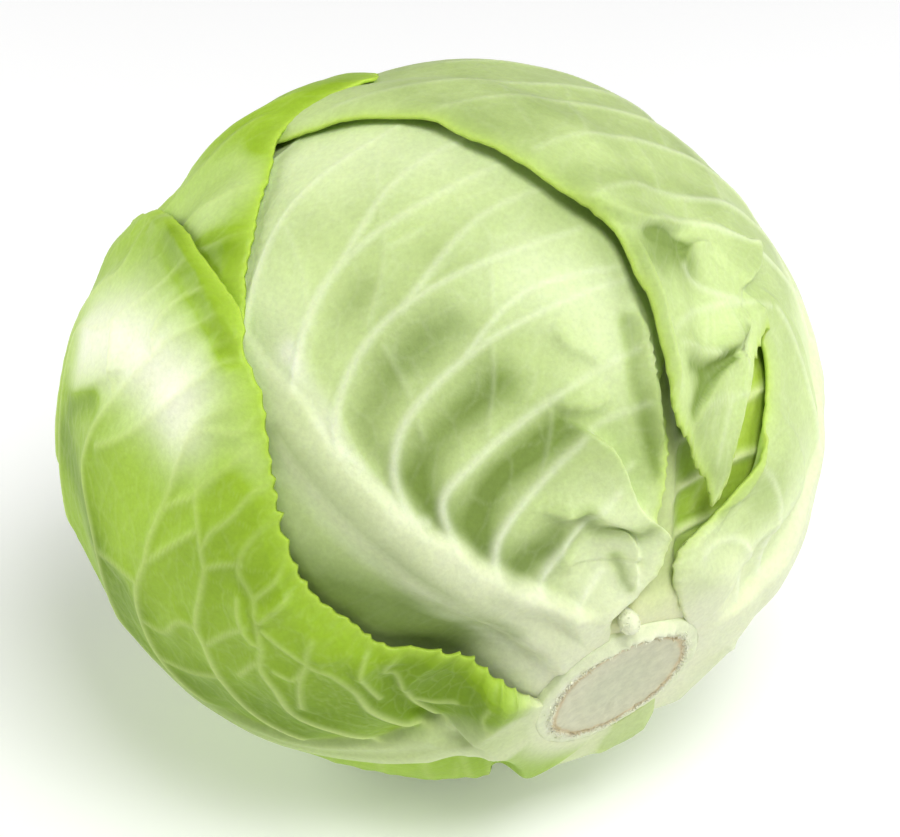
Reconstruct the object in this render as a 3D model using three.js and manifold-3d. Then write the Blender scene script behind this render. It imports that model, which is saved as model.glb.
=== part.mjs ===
// A head of green cabbage lying on its side, as cut for sale: the stem and its core, the packed heart,
// and the six wrapper leaves that still hold to it. Millimetres, +Z up, origin on the table under the head.
// Every leaf is worked out on the head itself: a direction from the head's centre, given by its longitude
// round the stem and its colatitude from the stem, and a height above the heart.
import * as THREE from "three";
import { mergeVertices } from "three/addons/utils/BufferGeometryUtils.js";
import Module from "manifold-3d";

const wasm = await Module();
wasm.setup();

// The head, in its own frame: stem towards -Z, longitude 0 on the side that faces up.
const HEART_EQUATOR = 76; // radius across the stem's axis
const HEART_POLE = 66.5; // radius along it
const DIMPLE_DEPTH = 3; // the heart draws in round the stem
const DIMPLE_ANGLE = 24;
const HEART_SWELLS = [
  // longitude, colatitude, height, width in degrees
  [-102, 118, 3.5, 36],
  [78, 62, 2.5, 34],
  [-20, 150, 2.0, 40],
];

// How the head lies: turned about the vertical, tipped over until the stem points a little below level.
const HEAD_TURN = -58.2;
const HEAD_TIP = -69.7;
const HEAD_CENTRE = [0.21, 1.03, 80.5];
const PRESSED_BLADE = 0.8; // the head's weight flattens the leaves under it to this, one on another
const PRESSED_GAP = 0.7;
const TURNED_DOWN = 0.2; // only directions that face the table by more than this are flattened
const SNAP = 0.01; // what comes this near the table lies on it
const WELD = 1e-3;
const HEART_COLOR = 0xd6e3a6;
const HEART_SIDES = 36;
const HEART_RINGS = 24;

// The leaves
const BLADE = 1.2;
const RIB_HEIGHT = 6; // how far the midrib stands out of the blade at the stem
const RIB_HALF_WIDTH = 8;
const RIB_LENGTH = 62; // degrees over which the midrib fades
const RIB_TIP_WIDTH = 0.45; // share of its width that is left at the tip
const BASE_SWELL = 5; // the rib thickens where it joins the stem, over this many degrees
const BASE_SWELL_LENGTH = 7;
const VEIN_HEIGHT = 0.8;
const VEIN_SPACING = 11; // degrees between veins that stand at full height, lower where they crowd
const VEIN_CROWDING = 1.15; // veins leave a plain midrib closer together near the stem
const LEAF_GAP = 0.7; // air between one leaf and the next
const MARGIN_WAVE = 0.008; // share of the half-width by which the margin swings out at each vein
const MARGIN_LIFT = 0.6; // height of the same waves
const WAVE_FADE = 4; // power of the waves' fade towards the midrib
const COLUMNS = 9; // cells from midrib to margin
const MIDRIB_CROWDING = 1.4; // power that makes them narrower near the midrib
const ROWS_PER_VEIN = 2;
const SPINE_STEPS = 4; // points along the midrib for each row of cells
const BASE_COLATITUDE = 15; // where every leaf leaves the stem
const CUT_STEP = 1; // the leaves are cut off this far behind the stem's cut face
const CUT_BLADE = 2; // and are at least this thick there
const BY_STEM = 0.5; // only directions that face the stem by more than this reach the cut
const FEELERS = [
  // how a leaf feels for what lies under it: degrees from a point, number of places
  [2.1, 6],
  [4.3, 9],
];
const SETTLE_STEPS = 4;
const EASE_ROUNDS = 20; // a leaf that still touches is raised by so much, so far round the place
const EASE_REACH = 9;
const EASE_STEP = 0.25;
const LEAF_ROUGHNESS = 0.45;

// The stem
const CUT_LEVEL = 75.5; // distance of the cut face from the head's centre
const CUT_RADIUS = 17;
const CORE_GAP = 0.5;
const STEM_COLOR = 0xdfe0b8;
const STEM_ROUGHNESS = 0.6;
const STEM_SIDES = 28;
const TIP_ROUNDING = 1; // the core's inner end stands out this far past its last ring
const RUNOUT = 6; // the pocket for the core runs out this far past the cut
const STEM_PROFILE = [
  // radius, distance from the head's centre
  [CUT_RADIUS, CUT_LEVEL],
  [18.4, 73.6],
  [18.2, 70.5],
  [16.2, 66],
  [13, 56],
  [9.5, 43],
  [7, 31],
  [4, 25.5],
];

const rad = THREE.MathUtils.degToRad;

function direction(longitude, colatitude) {
  const around = rad(longitude);
  const down = rad(colatitude);
  const level = Math.sin(down);
  return new THREE.Vector3(level * Math.cos(around), level * Math.sin(around), -Math.cos(down));
}

const headTurn = new THREE.Matrix4().makeRotationFromEuler(
  new THREE.Euler(0, rad(HEAD_TIP), rad(HEAD_TURN), "ZYX"),
);
const tableward = new THREE.Vector3(0, 0, -1).transformDirection(headTurn.clone().invert());

// How far out a direction meets the level at so much above the table.
function pressedTo(d, level) {
  const facing = d.dot(tableward);
  return facing > TURNED_DOWN ? (HEAD_CENTRE[2] - level) / facing : Infinity;
}

// Radius of the heart: a spheroid with broad swells, drawn in at the stem and flattened where it lies.
function heartRadius(d) {
  const level = Math.hypot(d.x, d.y);
  let r = 1 / Math.hypot(level / HEART_EQUATOR, d.z / HEART_POLE);
  for (const [lon, col, height, width] of HEART_SWELLS) {
    const away = d.angleTo(direction(lon, col)) / rad(width);
    r += height * Math.exp(-away * away);
  }
  const fromStem = Math.acos(-d.z) / rad(DIMPLE_ANGLE);
  r -= DIMPLE_DEPTH * Math.exp(-fromStem * fromStem);
  return Math.min(r, pressedTo(d, LEAVES.length * (PRESSED_BLADE + PRESSED_GAP)));
}

// Margin of a leaf side that nothing shows: shares of the leaf's length and half-width.
const PLAIN_MARGIN = [
  [0.094, 0.1],
  [0.13, 0.2],
  [0.16, 0.5],
  [0.22, 0.8],
  [0.33, 0.96],
  [0.47, 1],
  [0.6, 0.95],
  [0.72, 0.82],
  [0.84, 0.6],
  [0.94, 0.32],
  [1, 0],
];
const WAY_ALONG = 0.4; // where a vein is halfway, as shares of its run along and across the leaf
const WAY_OUT = 0.62;

const plainCurve = new THREE.CatmullRomCurve3(PLAIN_MARGIN.map(([s, t]) => new THREE.Vector3(s, t, 0)));

// A direction given along a leaf's midrib meridian and sideways from it.
function beside(meridian, along, sideways) {
  const out = direction(meridian, 90);
  const across = direction(meridian + 90, 90);
  return new THREE.Vector3(0, 0, -Math.cos(rad(along)))
    .addScaledVector(out, Math.sin(rad(along)))
    .multiplyScalar(Math.cos(rad(sideways)))
    .addScaledVector(across, Math.sin(rad(sideways)));
}

// One side of a leaf as vein rows: [waypoint, margin point, lift of each].
function shownSide(rows) {
  return rows.map(([kLon, kCol, lLon, lCol, kLift = 0, lLift = 0]) => ({
    way: direction(kLon, kCol),
    end: direction(lLon, lCol),
    lifts: [kLift, lLift],
  }));
}

function plainSide(midrib, width, length, tip) {
  const last = midrib.length - 1;
  return midrib.map(([lon, col], k) => {
    if (k === last) return tip;
    const p = plainCurve.getPoint(k / last);
    const along = p.x * length;
    const way = beside(lon, THREE.MathUtils.lerp(col, along, WAY_ALONG), WAY_OUT * p.y * width);
    return { way, end: beside(lon, along, p.y * width), lifts: [0, 0] };
  });
}

// The midribs, as the points where the main veins leave them: [longitude, colatitude].
function bentMidrib(from, to, count) {
  return Array.from({ length: count }, (_, k) => {
    const share = (k / (count - 1)) ** VEIN_CROWDING;
    return [THREE.MathUtils.lerp(from[0], to[0], share), THREE.MathUtils.lerp(from[1], to[1], share)];
  });
}

const FRONT_MIDRIB = [
  [-33, 15], [-33, 18], [-33, 22], [-34, 27], [-36, 33], [-38, 40], [-41, 48],
  [-43, 59], [-45, 70], [-46, 80], [-48, 91], [-49, 102], [-50, 113],
];
const FRONT_RIGHT = [
  // waypoint longitude, colatitude, margin longitude, colatitude, lifts
  [-22, 17, -13, 19],
  [-20, 20, -8, 21],
  [-16, 25, 2, 23, 0.5, 1.5],
  [-13, 30, 7, 27, 1, 3],
  [-14, 38, 9, 35, 1, 3],
  [-17, 46, 9, 42, 1, 1.5],
  [-20, 57, 7, 54, 0, 0.5],
  [-21, 68, 11, 65],
  [-24, 80, 15, 78],
  [-25, 93, 13, 94],
  [-28, 106, 5, 110],
  [-28, 114, -12, 126],
  [-44, 127, -36, 142],
];

const OUTER_MIDRIB = [
  [-126, 15], [-122, 18], [-119, 22], [-117, 28], [-116, 35], [-115, 43], [-114, 52], [-112, 62],
  [-110, 73], [-108, 84], [-106, 95], [-104, 106], [-102, 117], [-101, 126], [-101, 133], [-101, 140],
];
const OUTER_RIGHT = [
  [-106, 17, -88, 18],
  [-98, 21, -75, 22, 0, 0.5],
  [-93, 27, -67, 27, 0, 1.5],
  [-91, 34, -66, 32, 0, 2],
  [-92, 42, -71, 41, 0, 1.5],
  [-92, 49, -71, 48, 0, 0.5],
  [-91, 59, -68, 57],
  [-86, 69, -59, 67],
  [-82, 80, -51, 77],
  [-79, 92, -46, 86],
  [-77, 105, -44, 97],
  [-76, 118, -46, 112],
  [-78, 130, -52, 127],
  [-80, 137, -66, 141],
  [-86, 145, -82, 155],
  [-104, 153, -104, 166],
];

const RIGHT_MIDRIB = [
  [92, 15], [91, 18], [89, 22], [87, 27], [85, 33], [82, 40], [79, 46], [77, 51], [76, 55],
  [75.5, 58], [75, 60.5], [74.5, 62.5], [74, 64.5], [73.5, 66.5], [73, 68.5], [72.5, 71], [72, 74], [71, 77],
  [70, 81], [69, 86], [67, 92], [65, 99], [61, 107], [57, 116], [52, 125], [48, 133], [44, 140],
];
const RIGHT_LEFT = [
  [66, 16, 40, 17],
  [55, 20, 20, 20],
  [52, 26, 13, 24],
  [52, 31, 17, 28],
  [58, 37, 28, 32],
  [61, 44, 36, 37],
  [61, 50, 40, 44],
  [61, 56, 42, 51],
  [57, 62, 42, 57],
  [50, 66, 40, 60.5, 0.5, 0.5],
  [43, 69, 37, 61.5, 0.5, 1],
  [39, 70, 34, 54, 1, 2],
  [37, 71, 31, 44, 1.5, 3],
  [35, 72, 28, 35, 1.5, 3],
  [33, 73, 21, 39, 1.5, 3],
  [32, 75, 15, 45, 1.5, 2.5],
  [31, 77, 10, 51, 1.5, 2.5],
  [32, 80, 9, 60, 1, 2],
  [34, 84, 9, 69, 0.5, 1.5],
  [35, 89, 6, 78, 0, 1],
  [34, 95, 2, 86, 0, 0.5],
  [31, 102, -2, 95],
  [26, 111, -7, 105],
  [19, 121, -15, 114],
  [10, 133, -29, 122],
  [6, 143, -44, 133],
  [16, 155, -40, 150],
];

const UPPER_MIDRIB = [
  [-170, 15], [-168, 22], [-165, 31], [-162, 40], [-160, 51], [-157, 63],
  [-155, 76], [-152, 89], [-149, 102], [-145, 116], [-140, 130], [-132, 144],
];
const UPPER_RIGHT = [
  [-158, 17, -147, 19],
  [-146, 25, -124, 27],
  [-132, 34, -98, 36],
  [-122, 44, -80, 45],
  [-117, 57, -72, 58],
  [-110, 71, -62, 72],
  [-103, 86, -52, 84],
  [-98, 101, -42, 96],
  [-92, 115, -34, 108],
  [-86, 130, -22, 122],
  [-84, 146, -2, 128],
  [-90, 161, 30, 162],
];

const LEAVES = [
  {
    name: "leaf_inner", color: 0xb4c86a, rib: 0.8,
    midrib: bentMidrib([8, 15], [12, 118], 11), leftWidth: 62, rightWidth: 70, length: 165,
  },
  {
    name: "leaf_front", color: 0xd3e2a4, rib: 1,
    midrib: FRONT_MIDRIB, right: shownSide(FRONT_RIGHT), leftWidth: 76, length: 160,
  },
  {
    name: "leaf_back", color: 0xbad582, rib: 0.9,
    midrib: bentMidrib([148, 15], [140, 144], 12), leftWidth: 74, rightWidth: 78, length: 196,
  },
  {
    name: "leaf_right", color: 0xc3dd8c, rib: 1, columns: 8,
    midrib: RIGHT_MIDRIB, left: shownSide(RIGHT_LEFT), rightWidth: 56, length: 192,
  },
  {
    name: "leaf_upper", color: 0xa9cf5e, rib: 0.55, columns: 13,
    midrib: UPPER_MIDRIB, right: shownSide(UPPER_RIGHT), leftWidth: 66, length: 196,
  },
  {
    name: "leaf_outer", color: 0x8fbf45, rib: 1,
    midrib: OUTER_MIDRIB, right: shownSide(OUTER_RIGHT), leftWidth: 80, length: 176,
  },
];

// A leaf side as a function: share along the midrib, share from midrib to margin.
function sideSurface(midrib, rows) {
  const curve = (points) => new THREE.CatmullRomCurve3(points, false, "catmullrom");
  const start = curve(midrib.map(([lon, col]) => direction(lon, col)));
  const way = curve(rows.map((row) => row.way));
  const end = curve(rows.map((row) => row.end));
  const lift = curve(rows.map((row) => new THREE.Vector3(row.lifts[0], row.lifts[1], 0)));
  return (u, share) => {
    const wave = share ** WAVE_FADE * Math.cos(2 * Math.PI * u * (midrib.length - 1));
    const v = share + MARGIN_WAVE * wave;
    const nearWay = 4 * v * (1 - v);
    const nearEnd = v * (2 * v - 1);
    const d = start.getPoint(u).multiplyScalar((1 - v) * (1 - 2 * v));
    d.addScaledVector(way.getPoint(u), nearWay).addScaledVector(end.getPoint(u), nearEnd);
    const up = lift.getPoint(u);
    const height = up.x * nearWay + up.y * nearEnd + MARGIN_LIFT * wave;
    return { d: d.normalize(), lift: Math.max(height, 0) };
  };
}

// Outer radius of what is already built, and the highest of it round a direction.
const caster = new THREE.Raycaster();
const CAST_FROM = 200;

function topOf(meshes, d) {
  let top = heartRadius(d);
  if (!meshes.length) return top;
  caster.set(d.clone().multiplyScalar(CAST_FROM), d.clone().negate());
  const hits = caster.intersectObjects(meshes, false);
  if (hits.length) top = Math.max(top, CAST_FROM - hits[0].distance);
  return top;
}

function feltTop(meshes, d) {
  let top = topOf(meshes, d);
  if (!meshes.length) return top;
  const side = new THREE.Vector3(0, 0, 1).cross(d).normalize();
  for (const [away, places] of FEELERS) {
    for (let k = 0; k < places; k++) {
      const step = side.clone().applyAxisAngle(d, (2 * Math.PI * k) / places);
      step.multiplyScalar(Math.tan(rad(away)));
      top = Math.max(top, topOf(meshes, step.add(d).normalize()));
    }
  }
  return top;
}

// A closed shell between two grids of points, welded along the tip where both sides meet.
function shell(outer, inner) {
  const rows = outer.length - 1;
  const columns = outer[0].length - 1;
  const points = [];
  const quad = (a, b, c, d) => points.push(a, b, c, a, c, d);
  for (let i = 0; i < rows; i++) {
    for (let j = 0; j < columns; j++) {
      quad(outer[i][j], outer[i][j + 1], outer[i + 1][j + 1], outer[i + 1][j]);
      quad(inner[i][j], inner[i + 1][j], inner[i + 1][j + 1], inner[i][j + 1]);
    }
    quad(inner[i][0], outer[i][0], outer[i + 1][0], inner[i + 1][0]);
    quad(outer[i][columns], inner[i][columns], inner[i + 1][columns], outer[i + 1][columns]);
  }
  for (let j = 0; j < columns; j++) quad(inner[0][j], inner[0][j + 1], outer[0][j + 1], outer[0][j]);
  return new THREE.BufferGeometry().setFromPoints(points);
}

// A leaf: laid over what is under it, settled until it spans the hollows, then given its thickness.
function leafGeometry(leaf, under) {
  const last = leaf.midrib.length - 1;
  const [topLon, topCol] = leaf.midrib[last];
  const shown = (leaf.right || leaf.left || [])[last];
  const tip = shown || {
    way: beside(topLon, (topCol + leaf.length) / 2, 0),
    end: beside(topLon, leaf.length, 0),
    lifts: [0, 0],
  };
  const plain = (width) => plainSide(leaf.midrib, width, leaf.length, tip);
  const left = sideSurface(leaf.midrib, leaf.left || plain(-leaf.leftWidth));
  const right = sideSurface(leaf.midrib, leaf.right || plain(leaf.rightWidth));
  const rows = last * ROWS_PER_VEIN;
  const columns = leaf.columns || COLUMNS;
  const joints = rows * SPINE_STEPS;
  const spine = Array.from({ length: joints + 1 }, (_, k) => left(k / joints, 0).d);
  const cells = [];
  for (let i = 0; i <= rows; i++) {
    const u = i / rows;
    const row = [];
    for (let j = -columns; j <= columns; j++) {
      const v = (Math.abs(j) / columns) ** MIDRIB_CROWDING;
      const { d, lift } = j < 0 ? left(u, v) : right(u, v);
      if (Math.acos(-d.z) < rad(BASE_COLATITUDE)) {
        d.copy(direction(THREE.MathUtils.radToDeg(Math.atan2(d.y, d.x)), BASE_COLATITUDE));
      }
      const fromRib = Math.min(...spine.map((p) => p.angleTo(d)));
      const floor = feltTop(under, d) + LEAF_GAP;
      row.push({ d, u, v, lift, fromRib, floor, r: floor });
    }
    cells.push(row);
  }
  settle(cells);
  return clearOf(under.map((mesh) => solidOf(mesh.geometry)), cells, leaf);
}

function bladeOf(cells, leaf) {
  const level = (LEAVES.length - 1 - LEAVES.indexOf(leaf)) * (PRESSED_BLADE + PRESSED_GAP);
  const inner = cells.map((row) => row.map(({ d, r, lift }) => {
    const limit = Math.min(cutLimit(d) - CUT_BLADE, pressedTo(d, level + PRESSED_BLADE));
    return d.clone().multiplyScalar(Math.min(r + lift, limit));
  }));
  const outer = cells.map((row) => row.map((cell) => {
    const limit = Math.min(cutLimit(cell.d), pressedTo(cell.d, level));
    return cell.d.clone().multiplyScalar(Math.min(cell.r + cell.lift + thickness(cell, leaf), limit));
  }));
  return shell(outer, inner);
}

// Eases a leaf off whatever it still touches underneath.
function clearOf(lower, cells, leaf) {
  for (let round = 0; round < EASE_ROUNDS; round++) {
    const blade = solidOf(bladeOf(cells, leaf));
    const touching = lower.flatMap((solid) => {
      const at = blade.intersect(solid).getMesh().vertProperties;
      const count = at.length / 3;
      return Array.from({ length: count }, (_, k) => new THREE.Vector3().fromArray(at, 3 * k).normalize());
    });
    if (!touching.length) break;
    for (const cell of cells.flat()) {
      if (touching.some((d) => d.angleTo(cell.d) < rad(EASE_REACH))) cell.floor += EASE_STEP;
    }
    settle(cells);
  }
  return bladeOf(cells, leaf);
}

// Nothing stands past the level of the cut round the stem.
function cutLimit(d) {
  return d.z < -BY_STEM ? (CUT_LEVEL - CUT_STEP) / -d.z : Infinity;
}

function settle(cells) {
  for (let step = 0; step < SETTLE_STEPS; step++) {
    const before = cells.map((row) => row.map((cell) => cell.r));
    for (let i = 0; i < cells.length; i++) {
      for (let j = 0; j < cells[i].length; j++) {
        const around = [before[i - 1]?.[j], before[i + 1]?.[j], before[i][j - 1], before[i][j + 1]];
        const near = around.filter((r) => r !== undefined);
        const mean = near.reduce((sum, r) => sum + r, 0) / near.length;
        cells[i][j].r = Math.max(cells[i][j].floor, (before[i][j] + mean) / 2);
      }
    }
    const tip = cells.at(-1);
    for (let j = 0; 2 * j < tip.length; j++) {
      const twin = tip[tip.length - 1 - j];
      tip[j].r = Math.max(tip[j].r, twin.r);
      twin.r = tip[j].r;
    }
  }
}

// The blade, the midrib standing out of it, and the main veins along every second row.
function thickness({ d, u, v, fromRib }, leaf) {
  const fromBase = THREE.MathUtils.radToDeg(Math.acos(-d.z)) - BASE_COLATITUDE;
  const fade = Math.exp(-((Math.max(fromBase, 0) / RIB_LENGTH) ** 2));
  const ribWidth = RIB_HALF_WIDTH * THREE.MathUtils.lerp(RIB_TIP_WIDTH, 1, fade);
  const sideways = (fromRib * HEART_EQUATOR) / ribWidth;
  const swell = leaf.rib * BASE_SWELL * Math.exp(-((Math.max(fromBase, 0) / BASE_SWELL_LENGTH) ** 2));
  const rib = (leaf.rib * RIB_HEIGHT * fade + swell) * Math.exp(-sideways * sideways);
  const share = u * (leaf.midrib.length - 1);
  const k = Math.min(Math.floor(share), leaf.midrib.length - 2);
  const spacing = Math.min((leaf.midrib[k + 1][1] - leaf.midrib[k][1]) / VEIN_SPACING, 1);
  const vein = VEIN_HEIGHT * spacing * Math.cos(share * Math.PI) ** 2 * (1 - v * v);
  return BLADE + rib + vein;
}

// Manifold solids and back, for the pocket that the core fills in the heart.
function solidOf(geometry) {
  const bare = geometry.index ? geometry.toNonIndexed() : geometry.clone();
  bare.deleteAttribute("normal");
  bare.deleteAttribute("uv");
  const merged = mergeVertices(bare, WELD);
  return new wasm.Manifold(
    new wasm.Mesh({
      numProp: 3,
      vertProperties: merged.attributes.position.array,
      triVerts: new Uint32Array(merged.index.array),
    }),
  );
}

function geometryOf(solid) {
  const mesh = solid.getMesh();
  return new THREE.BufferGeometry()
    .setAttribute("position", new THREE.BufferAttribute(new Float32Array(mesh.vertProperties), 3))
    .setIndex(new THREE.BufferAttribute(new Uint32Array(mesh.triVerts), 1));
}

// The stem, or with some growth the pocket it fills.
function stemGeometry(grow) {
  const face = grow ? CUT_LEVEL + RUNOUT : CUT_LEVEL;
  const rings = STEM_PROFILE.slice(grow ? 0 : 1).map(([r, level]) => new THREE.Vector2(r + grow, -level));
  const profile = [
    new THREE.Vector2(0, -face),
    new THREE.Vector2(CUT_RADIUS + grow, -face),
    ...rings,
    new THREE.Vector2(0, TIP_ROUNDING + grow - STEM_PROFILE.at(-1)[1]),
  ];
  return new THREE.LatheGeometry(profile, STEM_SIDES).rotateX(Math.PI / 2);
}

function heartGeometry() {
  const ball = new THREE.SphereGeometry(1, HEART_SIDES, HEART_RINGS);
  const at = ball.attributes.position;
  const d = new THREE.Vector3();
  for (let k = 0; k < at.count; k++) {
    d.fromBufferAttribute(at, k).normalize();
    d.multiplyScalar(heartRadius(d));
    at.setXYZ(k, d.x, d.y, d.z);
  }
  return geometryOf(solidOf(ball).subtract(solidOf(stemGeometry(CORE_GAP))));
}

// Stands a piece made in the head's frame on the table.
function laid(name, geometry, color, roughness) {
  const mesh = new THREE.Mesh(
    geometry.clone().applyMatrix4(headTurn),
    new THREE.MeshStandardMaterial({ color, roughness, metalness: 0 }),
  );
  mesh.name = name;
  const at = mesh.geometry.attributes.position;
  for (let k = 0; k < at.count; k++) {
    if (at.getZ(k) < SNAP - HEAD_CENTRE[2]) at.setZ(k, -HEAD_CENTRE[2]);
  }
  return mesh;
}

const cabbage = new THREE.Group();
cabbage.name = "green_cabbage";
cabbage.position.set(...HEAD_CENTRE);
cabbage.add(laid("stem", stemGeometry(0), STEM_COLOR, STEM_ROUGHNESS));
cabbage.add(laid("heart", heartGeometry(), HEART_COLOR, LEAF_ROUGHNESS));

const built = [];
for (const leaf of LEAVES) {
  const geometry = leafGeometry(leaf, built);
  built.push(new THREE.Mesh(geometry, new THREE.MeshBasicMaterial({ side: THREE.DoubleSide })));
  cabbage.add(laid(leaf.name, geometry, leaf.color, LEAF_ROUGHNESS));
}

export default cabbage;
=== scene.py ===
import functools
import math
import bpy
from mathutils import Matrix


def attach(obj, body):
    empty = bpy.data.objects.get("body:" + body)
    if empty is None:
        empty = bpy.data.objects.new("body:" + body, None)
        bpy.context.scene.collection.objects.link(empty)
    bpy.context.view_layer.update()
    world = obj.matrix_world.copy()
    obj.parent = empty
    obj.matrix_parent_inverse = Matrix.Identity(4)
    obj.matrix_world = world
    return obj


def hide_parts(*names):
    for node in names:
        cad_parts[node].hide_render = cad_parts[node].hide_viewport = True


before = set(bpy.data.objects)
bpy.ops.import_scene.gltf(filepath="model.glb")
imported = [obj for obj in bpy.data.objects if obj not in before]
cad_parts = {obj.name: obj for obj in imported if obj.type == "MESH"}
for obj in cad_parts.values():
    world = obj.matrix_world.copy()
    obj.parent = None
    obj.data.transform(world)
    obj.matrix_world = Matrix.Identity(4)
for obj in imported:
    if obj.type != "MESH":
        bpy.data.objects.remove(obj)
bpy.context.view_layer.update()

from types import SimpleNamespace

import bmesh
import bpy
import numpy as np
from mathutils import Matrix, Vector
from mathutils.bvhtree import BVHTree

scene = bpy.context.scene

# The camera, looking down on the head from in front and from far enough off to flatten it, as a long lens does.
# The head's centre is where part of every leaf is measured from; the picture is framed round it.
HEAD_CENTRE = np.array([0.21, 1.03, 80.5])
CAMERA_HEIGHT = math.radians(35)
CAMERA_DISTANCE = 0.7
CAMERA_ASIDE = 0.001874
LENS_MM = 126.98
SENSOR_MM = 36


def placed(name, data):
    """A new object in the scene, at the origin."""
    thing = bpy.data.objects.new(name, data)
    scene.collection.objects.link(thing)
    return thing


camera = placed("camera", bpy.data.cameras.new("camera"))
camera.data.lens = LENS_MM
camera.data.sensor_width = SENSOR_MM
camera.data.clip_start = 0.01
camera.rotation_euler = (math.pi / 2 - CAMERA_HEIGHT, 0, 0)
camera.location = Vector(HEAD_CENTRE / 1000) + Vector((
    CAMERA_ASIDE,
    -CAMERA_DISTANCE * math.cos(CAMERA_HEIGHT),
    CAMERA_DISTANCE * math.sin(CAMERA_HEIGHT),
))
scene.camera = camera
scene.view_settings.view_transform = "Standard"

# The table and the light: a white sheet under the head, a white room round it, and three soft boxes.
# Two stand at the head's left and right, so both flanks are bright, and the third hangs high in front.
TABLE_SIZE = 6
PAPER_WHITE = 0.85
PAPER_GLOW = 0.2
ROOM_LIGHT = 0.12
SOFT_BOXES = {
    # name: azimuth and height in degrees, distance and size in metres, watts
    "left_box": (-104, 17, 1.0, 0.7, 6.5),
    "right_box": (96, 30, 1.0, 0.7, 4.6),
    "top_box": (25, 60, 1.1, 0.5, 10.0),
}


def filled(tree, made, inputs):
    """Sets a node's inputs to values, or links them to what other nodes give."""
    for name, value in inputs.items():
        if isinstance(value, bpy.types.NodeSocket):
            tree.links.new(value, made.inputs[name])
        else:
            made.inputs[name].default_value = value
    return made


def node(tree, kind, inputs=None, **settings):
    made = tree.nodes.new(kind)
    for name, value in settings.items():
        setattr(made, name, value)
    return filled(tree, made, inputs or {})


def new_finish(name):
    """A new material, its tree and its main shader."""
    finish = bpy.data.materials.new(name)
    finish.use_nodes = True
    return finish, finish.node_tree, finish.node_tree.nodes["Principled BSDF"]


half = TABLE_SIZE / 2
table_mesh = bpy.data.meshes.new("table")
table_mesh.from_pydata([(-half, -half, 0), (half, -half, 0), (half, half, 0), (-half, half, 0)], [], [(0, 1, 2, 3)])
table = placed("table", table_mesh)
paper, tree, shader = new_finish("white_paper")
filled(tree, shader, {
    "Base Color": (PAPER_WHITE, PAPER_WHITE, PAPER_WHITE, 1), "Roughness": 0.9, "Specular IOR Level": 0.1,
    "Emission Color": (1, 1, 1, 1), "Emission Strength": PAPER_GLOW,
})
table_mesh.materials.append(paper)

for name, (azimuth, height, distance, size, watts) in SOFT_BOXES.items():
    lamp = bpy.data.lights.new(name, "AREA")
    lamp.shape = "SQUARE"
    lamp.size = size
    lamp.energy = watts
    box = placed(name, lamp)
    a, h = math.radians(azimuth), math.radians(height)
    way = Vector((math.sin(a) * math.cos(h), -math.cos(a) * math.cos(h), math.sin(h)))
    box.location = Vector(HEAD_CENTRE / 1000) + way * distance
    box.rotation_euler = way.to_track_quat("Z", "Y").to_euler()

room = bpy.data.worlds.new("room")
scene.world = room
room.use_nodes = True
filled(room.node_tree, room.node_tree.nodes["Background"], {"Color": (1, 1, 1, 1), "Strength": ROOM_LIGHT})

# The stem: the thick stalk all leaves grow from, sawn off clean, with its core running up into the heart.
# The cut shows cream pith, a ring of tan wood fibres round it and a thin green-white rind, torn up on one side.
# A small bud is left in the corner above the cut, a blunt knob that leans towards it.
HEAD_TURN = -58.2
HEAD_TIP = -69.7
STEM_PROFILE = [
    # radius, distance from the head's centre, in mm
    (0.01, 75.1), (4, 75.1), (8, 75.15), (11, 75.2), (13.5, 75.3), (15.2, 75.4), (15.9, 75.25), (16.4, 75.35),
    (17.2, 75.3), (18.7, 75.2), (19.7, 74.9), (20.3, 73.9), (19.8, 70.5), (16.8, 66), (13, 56), (9.5, 43),
    (7, 31), (4, 25.5), (0.01, 24.6),
]
STEM_CORE = 12
STEM_RADIUS = 19.5
STEM_AROUND = 200
STEM_ALONG = 110
STEM_LOBES = [
    # height in mm, how many round the stem, turn
    (0.3, 3, 1), (0.25, 5, 2), (0.15, 8, 0),
]
SAW_LINES, SAW_RIPPLE = 0.06, 0.05
CUT_FACE, CUT_EDGE, CUT_SOFT = 74, 74.4, 0.6
TORN_MIDDLE, TORN_SPREAD, TORN_HEIGHT, TORN_RADIUS, TORN_WIDTH = 6, 48, 1.5, 17.9, 1.1
BUD_LON, BUD_COL, BUD_OUT = -8.2, 18.7, 77.8
BUD_LENGTH, BUD_WIDTH, BUD_TINT = 3.3, 2.2, 17.7
BUD_RINGS, BUD_AROUND = 14, 20
CUT_BANDS = [
    # share of the way from the middle of the cut to its rim, colour
    (0.35, (0.60, 0.62, 0.43)), (0.72, (0.64, 0.64, 0.45)), (0.79, (0.62, 0.61, 0.42)), (0.825, (0.62, 0.52, 0.30)),
    (0.86, (0.72, 0.66, 0.44)), (0.885, (0.80, 0.81, 0.62)), (0.99, (0.74, 0.80, 0.52)),
]
CUT_RIM = 20.5
STALK_SIDE = (0.72, 0.79, 0.50, 1)

head_turn = np.array(Matrix.Rotation(math.radians(HEAD_TURN), 3, "Z") @ Matrix.Rotation(math.radians(HEAD_TIP), 3, "Y"))


def in_room(points):
    """Points of the head's own frame, in mm, as places over the table, in metres."""
    return (np.asarray(points) @ head_turn.T + HEAD_CENTRE) / 1000


def direction(lon, col):
    """The way out from the head's centre at degrees round the stem's axis and away from the stem."""
    lon, col = np.radians(lon), np.radians(col)
    level = np.sin(col)
    return np.stack([level * np.cos(lon), level * np.sin(lon), -np.cos(col) + 0 * lon], -1)


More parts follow.
